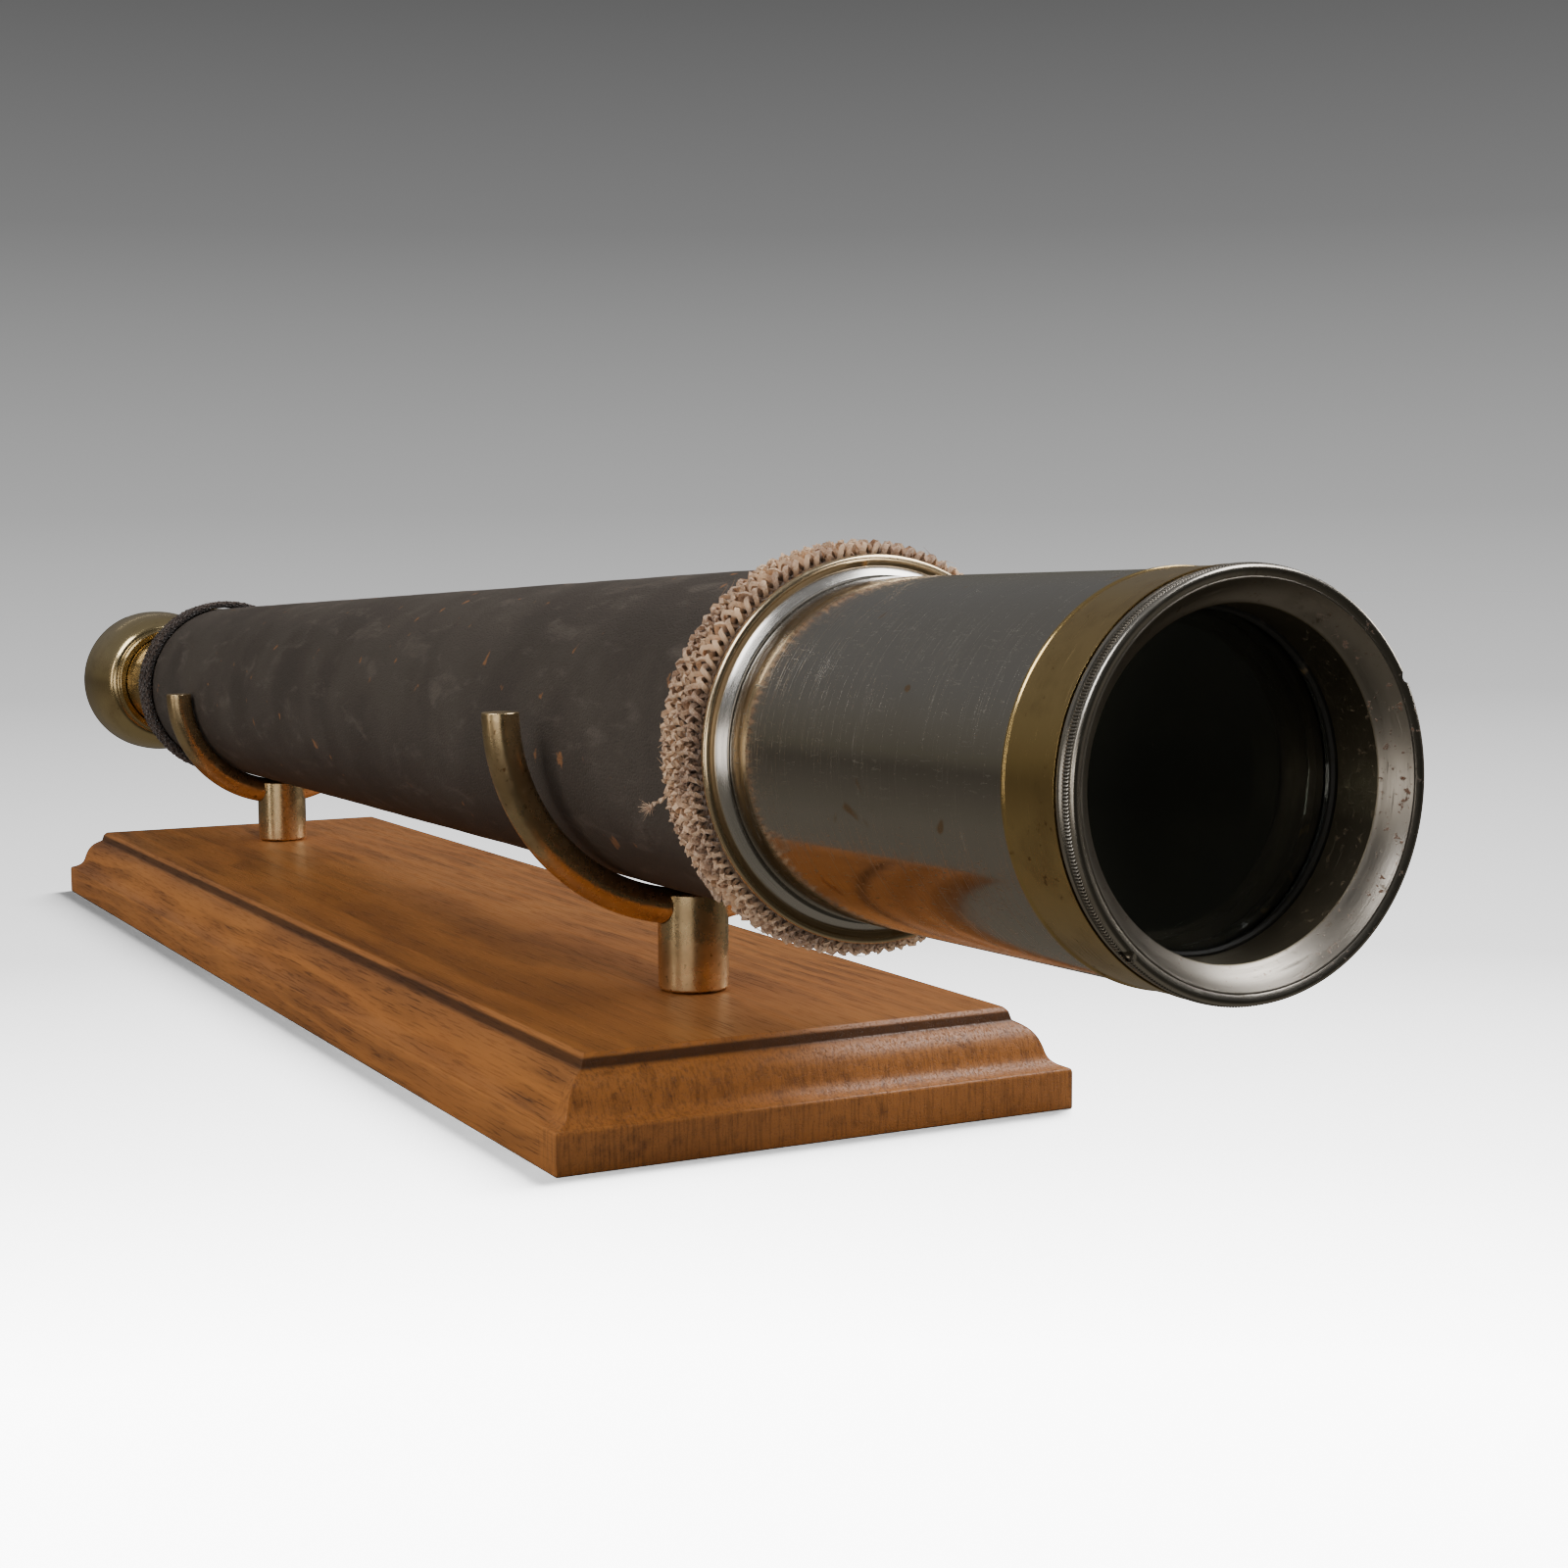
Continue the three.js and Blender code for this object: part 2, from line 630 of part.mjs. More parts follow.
piece(telescope, 'objective_retainer',
  tube(retainerFront - retainerWidth, retainerFront, lensRadius - retainerLand, lensRadius, smallSegments), blackened);
piece(telescope, 'front_baffle', baffle(frontBaffleX, frontBaffleBore), blackened);
piece(telescope, 'rear_baffle', baffle(rearBaffleX, rearBaffleBore), blackened);

piece(rayShade, 'shade_tube', shadeTube(), nickel);
piece(rayShade, 'shade_band', tube(bandRear, bandFront, bandInner, bandRadius, roundSegments), brass);
piece(rayShade, 'end_ring', endRing(), nickel);
piece(rayShade, 'shade_guide', tube(guideRear, guideRear + guideLength, guideInner, guideOuter, roundSegments), felt);

piece(draw, 'draw_tube', tube(drawRear, drawFrontX, drawInner, drawRadius, smallSegments), brass);
piece(draw, 'draw_stop', drawStop(), brass);
piece(draw, 'erector_tube', tube(erectorRear, erectorFront, innerTubeInner, innerTubeOuter, smallSegments), brass);
piece(draw, 'erector_front_lens',
  lens(erectorFront - lensInset, erectorLensEdge, innerLensRadius, erectorLensSag, erectorLensSag), glass);
piece(draw, 'erector_stop',
  tube((erectorFront + erectorRear) / 2, (erectorFront + erectorRear) / 2 + erectorStopWidth,
    erectorStopBore, innerLensRadius, smallSegments), blackened);
piece(draw, 'erector_rear_lens',
  lens(erectorRear + lensInset + erectorLensEdge, erectorLensEdge, innerLensRadius, erectorLensSag, erectorLensSag),
  glass);
piece(draw, 'eyepiece_tube', tube(eyepieceRear, eyepieceFront, innerTubeInner, innerTubeOuter, smallSegments), brass);
piece(draw, 'field_lens',
  lens(eyepieceFront - lensInset, fieldLensEdge, innerLensRadius, fieldLensSag, 0), glass);
piece(draw, 'eye_lens_cell',
  tube(eyepieceRear, eyepieceRear + eyeCellLength, eyeCellInner, innerLensRadius, smallSegments), blackened);
piece(draw, 'eye_lens',
  lens(eyepieceRear + eyeLensSag + eyeLensEdge, eyeLensEdge, eyeLensRadius, eyeLensSag, 0), glass);
piece(draw, 'eye_bell', eyeBell(), brass);
piece(draw, 'shutter_pivot', shutterScrew(), steel);
piece(draw, 'dust_shutter', dustShutter(), brass);

export default object;
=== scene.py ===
"""A ship's telescope with a leather-covered barrel, lying in two brass hoops on a moulded oak base.

The CAD frame gives every place and size; the pieces here give the finish. Run it as a script: it registers
its operators, calls them in order and leaves the finished scene. Lengths are in metres.
"""

import json
import math
import random
from types import SimpleNamespace

import bmesh
import bpy
from bpy.props import FloatProperty, FloatVectorProperty, IntProperty, PointerProperty
from bpy.types import Operator, Panel, PropertyGroup
from mathutils import Matrix, Vector, noise


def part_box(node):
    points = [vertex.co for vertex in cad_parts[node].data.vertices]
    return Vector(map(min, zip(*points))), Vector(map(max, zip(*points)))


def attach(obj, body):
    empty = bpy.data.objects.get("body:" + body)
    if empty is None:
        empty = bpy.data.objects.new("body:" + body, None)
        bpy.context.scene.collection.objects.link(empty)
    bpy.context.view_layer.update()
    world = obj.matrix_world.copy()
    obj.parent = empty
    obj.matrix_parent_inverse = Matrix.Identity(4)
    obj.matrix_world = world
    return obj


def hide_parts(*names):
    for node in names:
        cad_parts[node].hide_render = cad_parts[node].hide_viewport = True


bl_info = {
    "name": "Ship's Telescope",
    "version": (1, 0, 0),
    "blender": (4, 5, 0),
    "location": "View3D > Sidebar > Telescope",
    "description": "Builds a leather-covered hand telescope on a moulded oak stand with two brass hoops",
    "category": "Add Mesh",
}

MM = 0.001
CLEARANCE = 0.3 * MM
SPIGOT_DEPTH = 3.2 * MM   # from the leather's surface down to a ferrule's spigot
PIVOT_HOLE = 1.4 * MM     # radius of the hole round the shutter's screw
CORD_SLOTS = ("cord", "dark_cord")
CAMERA_PLACE = (0.6408, -0.2269, 0.1177)
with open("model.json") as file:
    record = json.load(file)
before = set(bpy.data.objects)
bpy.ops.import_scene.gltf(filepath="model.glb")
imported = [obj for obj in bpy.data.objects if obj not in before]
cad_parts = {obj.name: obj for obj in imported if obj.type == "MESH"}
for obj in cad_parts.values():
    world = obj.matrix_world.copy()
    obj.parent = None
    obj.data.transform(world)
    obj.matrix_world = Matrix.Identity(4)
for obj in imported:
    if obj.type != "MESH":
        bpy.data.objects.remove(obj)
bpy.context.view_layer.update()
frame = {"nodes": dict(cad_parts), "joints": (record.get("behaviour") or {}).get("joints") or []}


# ---- Places taken from the frame -------------------------------------------------------------


def telescope_frame():
    """The matrix from the telescope's own frame, with stations along X, to the row frame."""
    slide = next(joint for joint in frame["joints"] if joint["name"] == "shade_slide")
    along = Vector(slide["axis"]).normalized()
    low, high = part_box("draw_tube")
    middle = (low + high) / 2
    origin = middle - along * (middle.x / along.x)
    tilt = math.atan2(along.z, along.x)
    return Matrix.Translation(origin) @ Matrix.Rotation(-tilt, 4, "Y")


TO_ROW = telescope_frame()
TO_SCOPE = TO_ROW.inverted()


def reach(node):
    """Where a turned CAD node starts and ends along the telescope, with its inner and outer radius."""
    points = [TO_SCOPE @ vertex.co for vertex in frame["nodes"][node].data.vertices]
    radii = [math.hypot(point.y, point.z) for point in points]
    stations = [point.x for point in points]
    return SimpleNamespace(rear=min(stations), front=max(stations), inner=min(radii), outer=max(radii))


def outer_radius(node, station):
    """The outside radius of a CAD node near one of its stations."""
    points = [TO_SCOPE @ vertex.co for vertex in frame["nodes"][node].data.vertices]
    return max(math.hypot(point.y, point.z) for point in points if abs(point.x - station) < 0.1 * MM)


COVER = reach("leather_cover")
COVER_REAR_RADIUS = outer_radius("leather_cover", COVER.rear)


def cover_radius(station):
    """The outside of the tapered leather at a station."""
    share = (station - COVER.rear) / (COVER.front - COVER.rear)
    return COVER_REAR_RADIUS + (COVER.outer - COVER_REAR_RADIUS) * share


# ---- Settings --------------------------------------------------------------------------------


def colour(name, description, default):
    return FloatVectorProperty(name=name, description=description, subtype="COLOR", size=3, min=0, max=1,
                               default=default)


def length(name, description, default):
    return FloatProperty(name=name, description=description, subtype="DISTANCE", unit="LENGTH", min=0,
                         default=default)


class StandSettings(PropertyGroup):
    moulding: length("Moulding width", "How far the top stands in from the plinth", 10.6 * MM)
    edge: length("Worn edge", "Rounding of the board's edges", 0.35 * MM)
    saddle_gap: length("Saddle gap", "Gap between a hoop and the groove in its post", 0.15 * MM)
    light_wood: colour("Light grain", "Stained oak between the rings", (0.54, 0.20, 0.042))
    dark_wood: colour("Dark grain", "Stained oak in the rings and pores", (0.115, 0.040, 0.011))
    brass: colour("Cradle brass", "Brass of the posts and hoops", (0.80, 0.60, 0.34))


class CoverSettings(PropertyGroup):
    leather: colour("Leather", "Dry dark leather of the barrel", (0.050, 0.039, 0.031))
    scuff: colour("Scuffs", "Where the leather is rubbed", (0.150, 0.122, 0.100))
    cord: colour("Cord", "Tan cord of the front collar", (0.86, 0.56, 0.34))
    tarred: colour("Tarred cord", "Dark cord of the rear collar", (0.070, 0.045, 0.033))
    cord_radius: length("Cord radius", "Radius of one cord of the plait", 0.60 * MM)
    fuzz: IntProperty(
        name="Loose fibres", description="Fibres that stand out of the front collar", default=260)


class MetalSettings(PropertyGroup):
    nickel: colour("Nickel", "Worn nickel plate", (0.56, 0.52, 0.46))
    brass: colour("Brass", "Aged polished brass", (0.72, 0.51, 0.21))
    edge: length("Turned edge", "Rounding of a turned edge", 0.18 * MM)
    knurl_ribs: IntProperty(name="Knurl ribs", description="Ribs round the end ring", default=380, min=40)
    knurl_depth: length("Knurl depth", "Depth of the knurl", 0.22 * MM)


class StageSettings(PropertyGroup):
    azimuth: FloatProperty(name="Camera azimuth", description="Degrees round the stand", default=62.45)
    elevation: FloatProperty(name="Camera elevation", description="Degrees above the horizon", default=5.536)
    roll: FloatProperty(name="Camera roll", description="Degrees of tilt about the view", default=-0.427)
    lens: FloatProperty(name="Focal length", description="Millimetres on a 36 mm sensor", default=55.64)
    key_power: FloatProperty(
        name="Light", description="Power that every lamp is a share of", default=7, unit="POWER")


SETTINGS = {
    "telescope_stand": StandSettings,
    "telescope_cover": CoverSettings,
    "telescope_metal": MetalSettings,
    "telescope_stage": StageSettings,
}


# ---- Shader expressions ----------------------------------------------------------------------


class Value:
    """A node's output. Arithmetic on it adds Math nodes to its paint."""

    def __init__(self, paint, socket):
        self.paint = paint
        self.socket = socket

    def math(self, operation, *others, clamp=False):
        values = dict(enumerate((self, *others)))
        return self.paint.add("ShaderNodeMath", {"operation": operation, "use_clamp": clamp}, values)

    def __add__(self, other):
        return self.math("ADD", other)

    def __sub__(self, other):
        return self.math("SUBTRACT", other)

    def __mul__(self, other):
        return self.math("MULTIPLY", other)

    def __truediv__(self, other):
        return self.math("DIVIDE", other)

    def __pow__(self, other):
        return self.math("POWER", other)

    def __radd__(self, other):
        return self + other

    def __rmul__(self, other):
        return self * other

    def __rsub__(self, other):
        return self.paint.add("ShaderNodeMath", {"operation": "SUBTRACT"}, {0: other, 1: self})

    def band(self, low, high):
        """0 below low, 1 above high, smooth between them; a high below low turns it round."""
        values = {"Value": self, "From Min": low, "From Max": high}
        return self.paint.add("ShaderNodeMapRange", {"interpolation_type": "SMOOTHSTEP"}, values)


class Wiring:
    """The nodes of a material or of the world."""

    def __init__(self, tree):
        self.nodes = tree.nodes
        self.links = tree.links

    def add(self, kind, settings, values, output=0):
        """Adds a node: first its settings or a ramp's stops, then the values or links of its sockets."""
        node = self.nodes.new(kind)
        for setting, value in settings.items():
            if setting == "stops":
                self.set_stops(node.color_ramp.elements, value)
            else:
                setattr(node, setting, value)
        for socket, value in values.items():
            self.feed(node.inputs[socket], value)
        return Value(self, node.outputs[output])

    @staticmethod
    def set_stops(elements, stops):
        while len(elements) < len(stops):
            elements.new(1)
        for element, (position, stop) in zip(elements, stops):
            element.position = position
            element.color = (*stop, 1)

    def feed(self, socket, value):
        if isinstance(value, Value):
            self.links.new(value.socket, socket)
        elif socket.type == "RGBA" and len(value) == 3:
            socket.default_value = (*value, 1)
        else:
            socket.default_value = value

    def millimetres(self, matrix=None):
        """Object coordinates in millimetres, in the row frame or in a frame given by a matrix."""
        place = self.add("ShaderNodeTexCoord", {}, {}, "Object")
        matrix = matrix or Matrix()
        values = {"Vector": place, "Location": matrix.translation, "Rotation": matrix.to_euler(),
                  "Scale": (MM, MM, MM)}
        return self.add("ShaderNodeMapping", {"vector_type": "TEXTURE"}, values)

    def split(self, vector):
        separate = self.add("ShaderNodeSeparateXYZ", {}, {"Vector": vector}).socket.node
        return [Value(self, socket) for socket in separate.outputs]

    def join(self, x, y, z):
        return self.add("ShaderNodeCombineXYZ", {}, {0: x, 1: y, 2: z})

    def stretched(self, vector, scale):
        return self.add("ShaderNodeVectorMath", {"operation": "MULTIPLY"}, {0: vector, 1: scale})

    def noise(self, vector, scale, detail=2.0, rough=0.5, warp=0.0):
        values = {"Vector": vector, "Scale": scale, "Detail": detail, "Roughness": rough, "Distortion": warp}
        return self.add("ShaderNodeTexNoise", {}, values, "Fac")

    def cells(self, vector, scale, feature="F1"):
        values = {"Vector": vector, "Scale": scale}
        return self.add("ShaderNodeTexVoronoi", {"feature": feature}, values, "Distance")

    def mix(self, factor, first, second):
        values = {0: factor, 6: first, 7: second}
        return self.add("ShaderNodeMix", {"data_type": "RGBA"}, values, 2)

    def bump(self, height, distance, strength=1.0):
        values = {"Height": height, "Distance": distance, "Strength": strength}
        return self.add("ShaderNodeBump", {}, values)


class Paint(Wiring):
    """A material, with the Principled shader's fixed values given at the start."""

    def __init__(self, name, **fixed):
        self.material = bpy.data.materials.new(name)
        self.material.use_nodes = True
        super().__init__(self.material.node_tree)
        self.shader = self.nodes["Principled BSDF"]
        for socket, value in fixed.items():
            self.shader.inputs[socket.replace("_", " ").title().replace("Ior", "IOR")].default_value = value

    def surface(self, **values):
        """Feeds the Principled shader, such as base_color or roughness."""
        for socket, value in values.items():
            self.feed(self.shader.inputs[socket.replace("_", " ").title()], value)
        return self.material


# ---- Finishes --------------------------------------------------------------------------------


def oak_finish():
    """Stained and waxed oak, with rings, pores and rays along the board and short strokes on its ends."""
    stand = bpy.context.scene.telescope_stand
    paint = Paint("stained_oak", coat_roughness=0.32, coat_ior=1.45)
    place = paint.millimetres()
    x, y, z = paint.split(place)
    drift = paint.noise(paint.stretched(place, (0.004, 0.014, 0.014)), 1, 2)
    ripple = paint.noise(paint.stretched(place, (0.012, 0.07, 0.07)), 1, 2)
    # Growth rings about a pith that lies under the board, a little to one side.
    across = y + 9 + (drift - 0.5) * 40
    depth = z + 30 + (ripple - 0.5) * 3
    ring = (across * across + depth * depth * 1.5) ** 0.5
    turn = (ring / 3.7 + (ripple - 0.5) * 0.35).math("FRACT")
    long_face = 1 - x.math("ABSOLUTE").band(213.0, 217.0) * 0.75
    early = turn.band(0.0, 0.6) * turn.band(1.0, 0.84)
    early = early * paint.noise(place, 0.02, 2).band(0.2, 0.75) * long_face
    end_stroke = paint.noise(paint.stretched(place, (1.0, 1.5, 0.12)), 1, 3, 0.6).band(0.45, 0.62)
    end_stroke = end_stroke * (1 - long_face)
    pores = paint.noise(paint.stretched(place, (0.09, 2.6, 2.6)), 1, 3, 0.6).band(0.52, 0.66)
    fleck = paint.noise(paint.stretched(place, (0.35, 0.9, 5.0)), 1, 2).band(0.60, 0.72)
    patch = paint.noise(place, 0.018, 3).band(0.3, 0.7)
    streak = paint.noise(paint.stretched(place, (0.016, 0.30, 0.30)), 1, 3, 0.6).band(0.50, 0.68)
    grain = early * 0.5 + early * pores * 0.5 + pores * 0.22 + streak * 0.3 + end_stroke * 0.5
    grain = grain.math("MINIMUM", 1)
    wood = paint.mix(grain, stand.light_wood, stand.dark_wood)
    wood = paint.mix(patch * 0.35, wood, (0.38, 0.13, 0.030))
    wood = paint.mix(fleck * 0.16, wood, (0.62, 0.29, 0.11))
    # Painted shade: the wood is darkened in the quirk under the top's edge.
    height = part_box("wood_base")[1].z / MM
    quirk = z.band(height - 3.4, height - 2.6) * z.band(height - 0.5, height - 1.3)
    wood = paint.mix(quirk * 0.85, wood, tuple(part * 0.45 for part in stand.dark_wood))
    relief = grain * -0.6 + pores * -0.8 + paint.noise(place, 2.2, 2) * 0.3
    return paint.surface(
        base_color=wood,
        roughness=0.40 + pores * 0.22 + patch * 0.08,
        coat_weight=0.14 - grain * 0.08,
        normal=paint.bump(relief, 0.10 * MM, 0.75),
    )


def metal_finish(name, base, stain, matrix, along, scratch=0.5, stained=0.5, rough=0.2):
    """Polished metal with fine turning lines, stray scratches, and stain where it has tarnished."""
    paint = Paint(name, metallic=1.0)
    place = paint.millimetres(matrix)
    lines = paint.noise(paint.stretched(place, along), 1, 3, 0.65)
    swirl = paint.noise(paint.stretched(place, tuple(0.35 * share + 0.08 for share in along)), 1, 2, 0.5, 0.6)
    marks = swirl.band(0.62, 0.72) * lines.band(0.45, 0.62)
    cloud = paint.noise(place, 0.075, 4, 0.62)
    spots = paint.noise(place, 0.55, 3, 0.6).band(0.60, 0.72)
    tarnish = cloud.band(0.46, 0.70) * 0.6 * stained + spots * cloud.band(0.42, 0.6) * stained
    tarnish = tarnish.math("MINIMUM", 1)
    shade = paint.mix(tarnish, base, stain)
    shade = paint.mix(marks * 0.35 * scratch, shade, tuple(min(1, 1.25 * part + 0.08) for part in base))
    return paint, place, shade, tarnish, marks, (
        lines * 0.30 + marks * 1.1 * scratch,
        rough + tarnish * 0.20 + marks * 0.20 * scratch + lines.band(0.35, 0.7) * 0.07,
    )


def brass_finish(name, matrix=None, along=(3.2, 0.12, 0.12), base=None, stained=0.55, rough=0.17):
    """Polished and handled brass; along gives how fine its lines are on each axis."""
    base = tuple(base or bpy.context.scene.telescope_metal.brass)
    stain = (0.20, 0.105, 0.040)
    paint, _, shade, _, _, (relief, dull) = metal_finish(
        name, base, stain, matrix, along, 0.7, stained, rough)
    return paint.surface(base_color=shade, roughness=dull, normal=paint.bump(relief, 0.012 * MM, 0.6))


def blacked_bore_finish():
    """Brass outside and matt black inside, on the nose tube."""
    metal = bpy.context.scene.telescope_metal
    paint, place, shade, _, _, (relief, dull) = metal_finish(
        "blacked_bore", tuple(metal.brass), (0.20, 0.105, 0.040), TO_ROW, (3.2, 0.12, 0.12), 0.7, 0.5, 0.2)
    _, y, z = paint.split(place)
    wall = reach("nose_tube")
    bore = ((y * y + z * z) ** 0.5).band(wall.outer / MM - 0.3, wall.inner / MM + 0.2)
    return paint.surface(
        base_color=paint.mix(bore, shade, (0.012, 0.011, 0.009)), roughness=dull + bore * 0.4,
        metallic=1 - bore, normal=paint.bump(relief, 0.012 * MM, 0.6))


def nickel_finish():
    """Nickel plate on the ray shade: hard turning scratches, and tan specks where brass shows through."""
    metal = bpy.context.scene.telescope_metal
    paint, place, shade, _, _, (relief, dull) = metal_finish(
        "scratched_nickel", tuple(metal.nickel), (0.30, 0.25, 0.18), TO_ROW, (3.4, 0.10, 0.10),
        scratch=1.0, stained=0.10, rough=0.08)
    stray = paint.noise(paint.stretched(place, (0.30, 1.9, 1.9)), 1, 2, 0.5, 1.2).band(0.64, 0.70)
    hoops = paint.noise(paint.stretched(place, (5.5, 0.035, 0.035)), 1, 2, 0.7).band(0.60, 0.68)
    worn = paint.noise(place, 0.10, 2, 0.45, 0.5).band(0.70, 0.74)
    shade = paint.mix(worn * 0.8, shade, (0.44, 0.27, 0.13))
    shade = paint.mix(hoops * 0.25, shade, (0.80, 0.76, 0.70))
    return paint.surface(
        base_color=shade,
        roughness=dull + stray * 0.20 + hoops * 0.18 + worn * 0.15,
        normal=paint.bump(relief + stray * 0.9 + hoops * 0.8, 0.010 * MM, 0.6),
    )


def ring_finish():
    """Nickel of the end ring, greyer on its hollow face, with rust specks and grime in the knurl."""
    metal = bpy.context.scene.telescope_metal
    paint, place, shade, _, _, (relief, dull) = metal_finish(
        "tarnished_ring", tuple(metal.nickel), (0.21, 0.17, 0.125), TO_ROW, (4.0, 0.10, 0.10),
        scratch=0.8, stained=0.62, rough=0.22)
    x, y, z = paint.split(place)
    ring = reach("end_ring")
    radius = (y * y + z * z) ** 0.5
    face = radius.band(ring.outer / MM - 1.3, ring.outer / MM - 2.2)
    rust = paint.noise(place, 0.62, 4, 0.68).band(0.60, 0.66) * y.band(6.0, 24.0)
    specks = paint.noise(place, 1.5, 2).band(0.66, 0.72)
    bore = radius.band(ring.inner / MM + 0.25, ring.inner / MM + 0.02)
    front = ring.front / MM
    knurl = x.band(front - 2.65, front - 2.45) * x.band(front - 1.1, front - 1.3)
    gullet = knurl * radius.band(ring.outer / MM - 0.04, ring.outer / MM - 0.17) * radius.band(
        ring.outer / MM - 0.7, ring.outer / MM - 0.5)
    shade = paint.mix(face * 0.40, shade, (0.33, 0.285, 0.235))
    shade = paint.mix((rust * 0.75 + specks * face * 0.4).math("MINIMUM", 1), shade, (0.23, 0.085, 0.030))
    shade = paint.mix(bore * 0.8, shade, (0.20, 0.165, 0.10))
    shade = paint.mix(gullet * 0.9, shade, (0.035, 0.028, 0.020))
    return paint.surface(
        base_color=shade,
        roughness=dull + face * 0.12 + rust * 0.25 + bore * 0.12 + gullet * 0.3,
        metallic=1 - rust * 0.55,
        normal=paint.bump(relief + rust * 1.2 + specks * face * 0.6, 0.03 * MM, 0.7),
    )


def ferrule_finish():
    """Polished brass on the front ferrule's rim, a face darkened by a painted dark reflection, and a pale
    foot painted partly as nickel plate and partly as a painted bright reflection.
    """
    paint, place, shade, _, _, (relief, dull) = metal_finish(
        "worn_ferrule_painted_reflections", (0.90, 0.71, 0.46), (0.50, 0.31, 0.14), TO_ROW, (4.0, 0.10, 0.10), 0.6, 0.3, 0.20)
    _, y, z = paint.split(place)
    radius = (y * y + z * z) ** 0.5
    top = reach("front_ferrule").outer / MM
    face = radius.band(top - 1.0, top - 1.3) * radius.band(top - 2.5, top - 2.2)
    foot = radius.band(top - 2.25, top - 2.55)
    # Painted reflection: the face is darkened to brown, as if it mirrored dark surroundings.
    shade = paint.mix(face * 0.55, shade, (0.44, 0.27, 0.12))
    # Partly nickel plate and partly a painted bright reflection: the foot is painted near white.
    shade = paint.mix(foot * 0.85, shade, (0.78, 0.77, 0.76))
    return paint.surface(
        base_color=shade, roughness=dull + face * 0.12, normal=paint.bump(relief, 0.010 * MM, 0.6))


def leather_finish():
    """Dry, crackled leather with rubbed patches and a few chips."""
    cover = bpy.context.scene.telescope_cover
    paint = Paint("worn_leather", specular_ior_level=0.32)
    place = paint.millimetres(TO_ROW)
    _, _, z = paint.split(place)
    crackle = paint.cells(paint.stretched(place, (0.9, 1.3, 1.3)), 1.1)
    fine = paint.noise(place, 2.4, 3, 0.65)
    weave = paint.noise(paint.stretched(place, (0.5, 2.2, 2.2)), 1, 2)
    cloud = paint.noise(place, 0.028, 4, 0.6)
    rub = paint.noise(paint.stretched(place, (0.05, 0.14, 0.14)), 1, 4, 0.7, 0.4).band(0.52, 0.72)
    chip = paint.noise(place, 0.16, 3, 0.5).band(0.69, 0.73)
    hide = paint.mix(cloud.band(0.35, 0.65), cover.leather, (0.074, 0.060, 0.048))
    hide = paint.mix((rub * (0.25 + fine * 0.5)).math("MINIMUM", 1), hide, cover.scuff)
    hide = paint.mix(fine.band(0.46, 0.62) * 0.30, hide, (0.125, 0.10, 0.086))
    hide = paint.mix(crackle.band(0.10, 0.02) * 0.5, hide, (0.018, 0.012, 0.010))
    hide = paint.mix(chip * 0.8, hide, (0.30, 0.135, 0.055))
    # The underside stays darker.
    hide = paint.mix(z.band(-8.0, -34.0) * 0.55, hide, (0.030, 0.017, 0.011))
    relief = crackle.band(0.0, 0.5) * 0.8 + fine * 0.9 + weave * 0.5
    return paint.surface(
        base_color=hide,
        roughness=0.62 + fine * 0.22 - rub * 0.06,
        normal=paint.bump(relief, 0.22 * MM, 0.75),
    )


def cord_finish(name, tone, dirt_and_shade, pale, foot):
    """Twisted cord with patches of grime and fine fibres; painted shade darkens it deep in the plait, so it
    is lighter where it stands proud.
    """
    paint = Paint(name, roughness=0.92, specular_ior_level=0.15, sheen_weight=0.25, sheen_roughness=0.6)
    place = paint.millimetres(TO_ROW)
    _, y, z = paint.split(place)
    radius = (y * y + z * z) ** 0.5
    proud = radius.band(foot / MM + 0.9, foot / MM + 2.8)
    fibre = paint.noise(paint.stretched(place, (4.0, 2.2, 2.2)), 1, 3, 0.7)
    patch = paint.noise(place, 0.13, 3, 0.6)
    tan = paint.mix(patch.band(0.40, 0.62), tone, dirt_and_shade)
    tan = paint.mix(fibre.band(0.42, 0.66) * 0.55, tan, pale)
    # Painted shade: the cord is darkened deep in the plait, below the proud strands.
    tan = paint.mix((1 - proud) * 0.8, tan, tuple(part * 0.25 for part in dirt_and_shade))
    return paint.surface(base_color=tan, normal=paint.bump(fibre, 0.16 * MM, 0.8))


def lacquer_finish():
    """Matt black lacquer with dust, worn through here and there."""
    paint = Paint("matt_black_lacquer", metallic=0.1)
    place = paint.millimetres(TO_ROW)
    dust = paint.noise(place, 0.9, 3, 0.6).band(0.56, 0.70)
    worn = paint.noise(place, 0.2, 3).band(0.66, 0.72)
    black = paint.mix(dust * 0.35, (0.014, 0.013, 0.010), (0.065, 0.055, 0.035))
    black = paint.mix(worn * 0.6, black, (0.20, 0.13, 0.05))
    return paint.surface(base_color=black, roughness=0.55 + dust * 0.3,
                         normal=paint.bump(dust, 0.02 * MM, 0.5))


def glass_finish():
    """Coated by age and dusty: mostly clear, with specks that catch the light."""
    paint = Paint("dusty_glass", transmission_weight=1.0, ior=1.52, roughness=0.02)
    place = paint.millimetres(TO_ROW)
    specks = paint.cells(place, 1.25).band(0.13, 0.05) * paint.noise(place, 0.4, 2).band(0.40, 0.62)
    film = paint.noise(place, 0.05, 4, 0.6).band(0.35, 0.75)
    smear = paint.noise(paint.stretched(place, (1, 0.12, 0.35)), 1, 3).band(0.5, 0.7)
    dust = paint.add("ShaderNodeBsdfDiffuse", {}, {"Color": (0.36, 0.31, 0.22, 1)})
    share = (specks * 0.22 + film * 0.006 + smear * 0.004).math("MINIMUM", 1)
    blend = paint.add("ShaderNodeMixShader", {}, {
        0: share, 1: Value(paint, paint.shader.outputs[0]), 2: dust})
    paint.links.new(blend.socket, paint.nodes["Material Output"].inputs["Surface"])
    return paint.surface(base_color=paint.mix(film, (0.93, 0.97, 0.93), (0.82, 0.86, 0.76)))


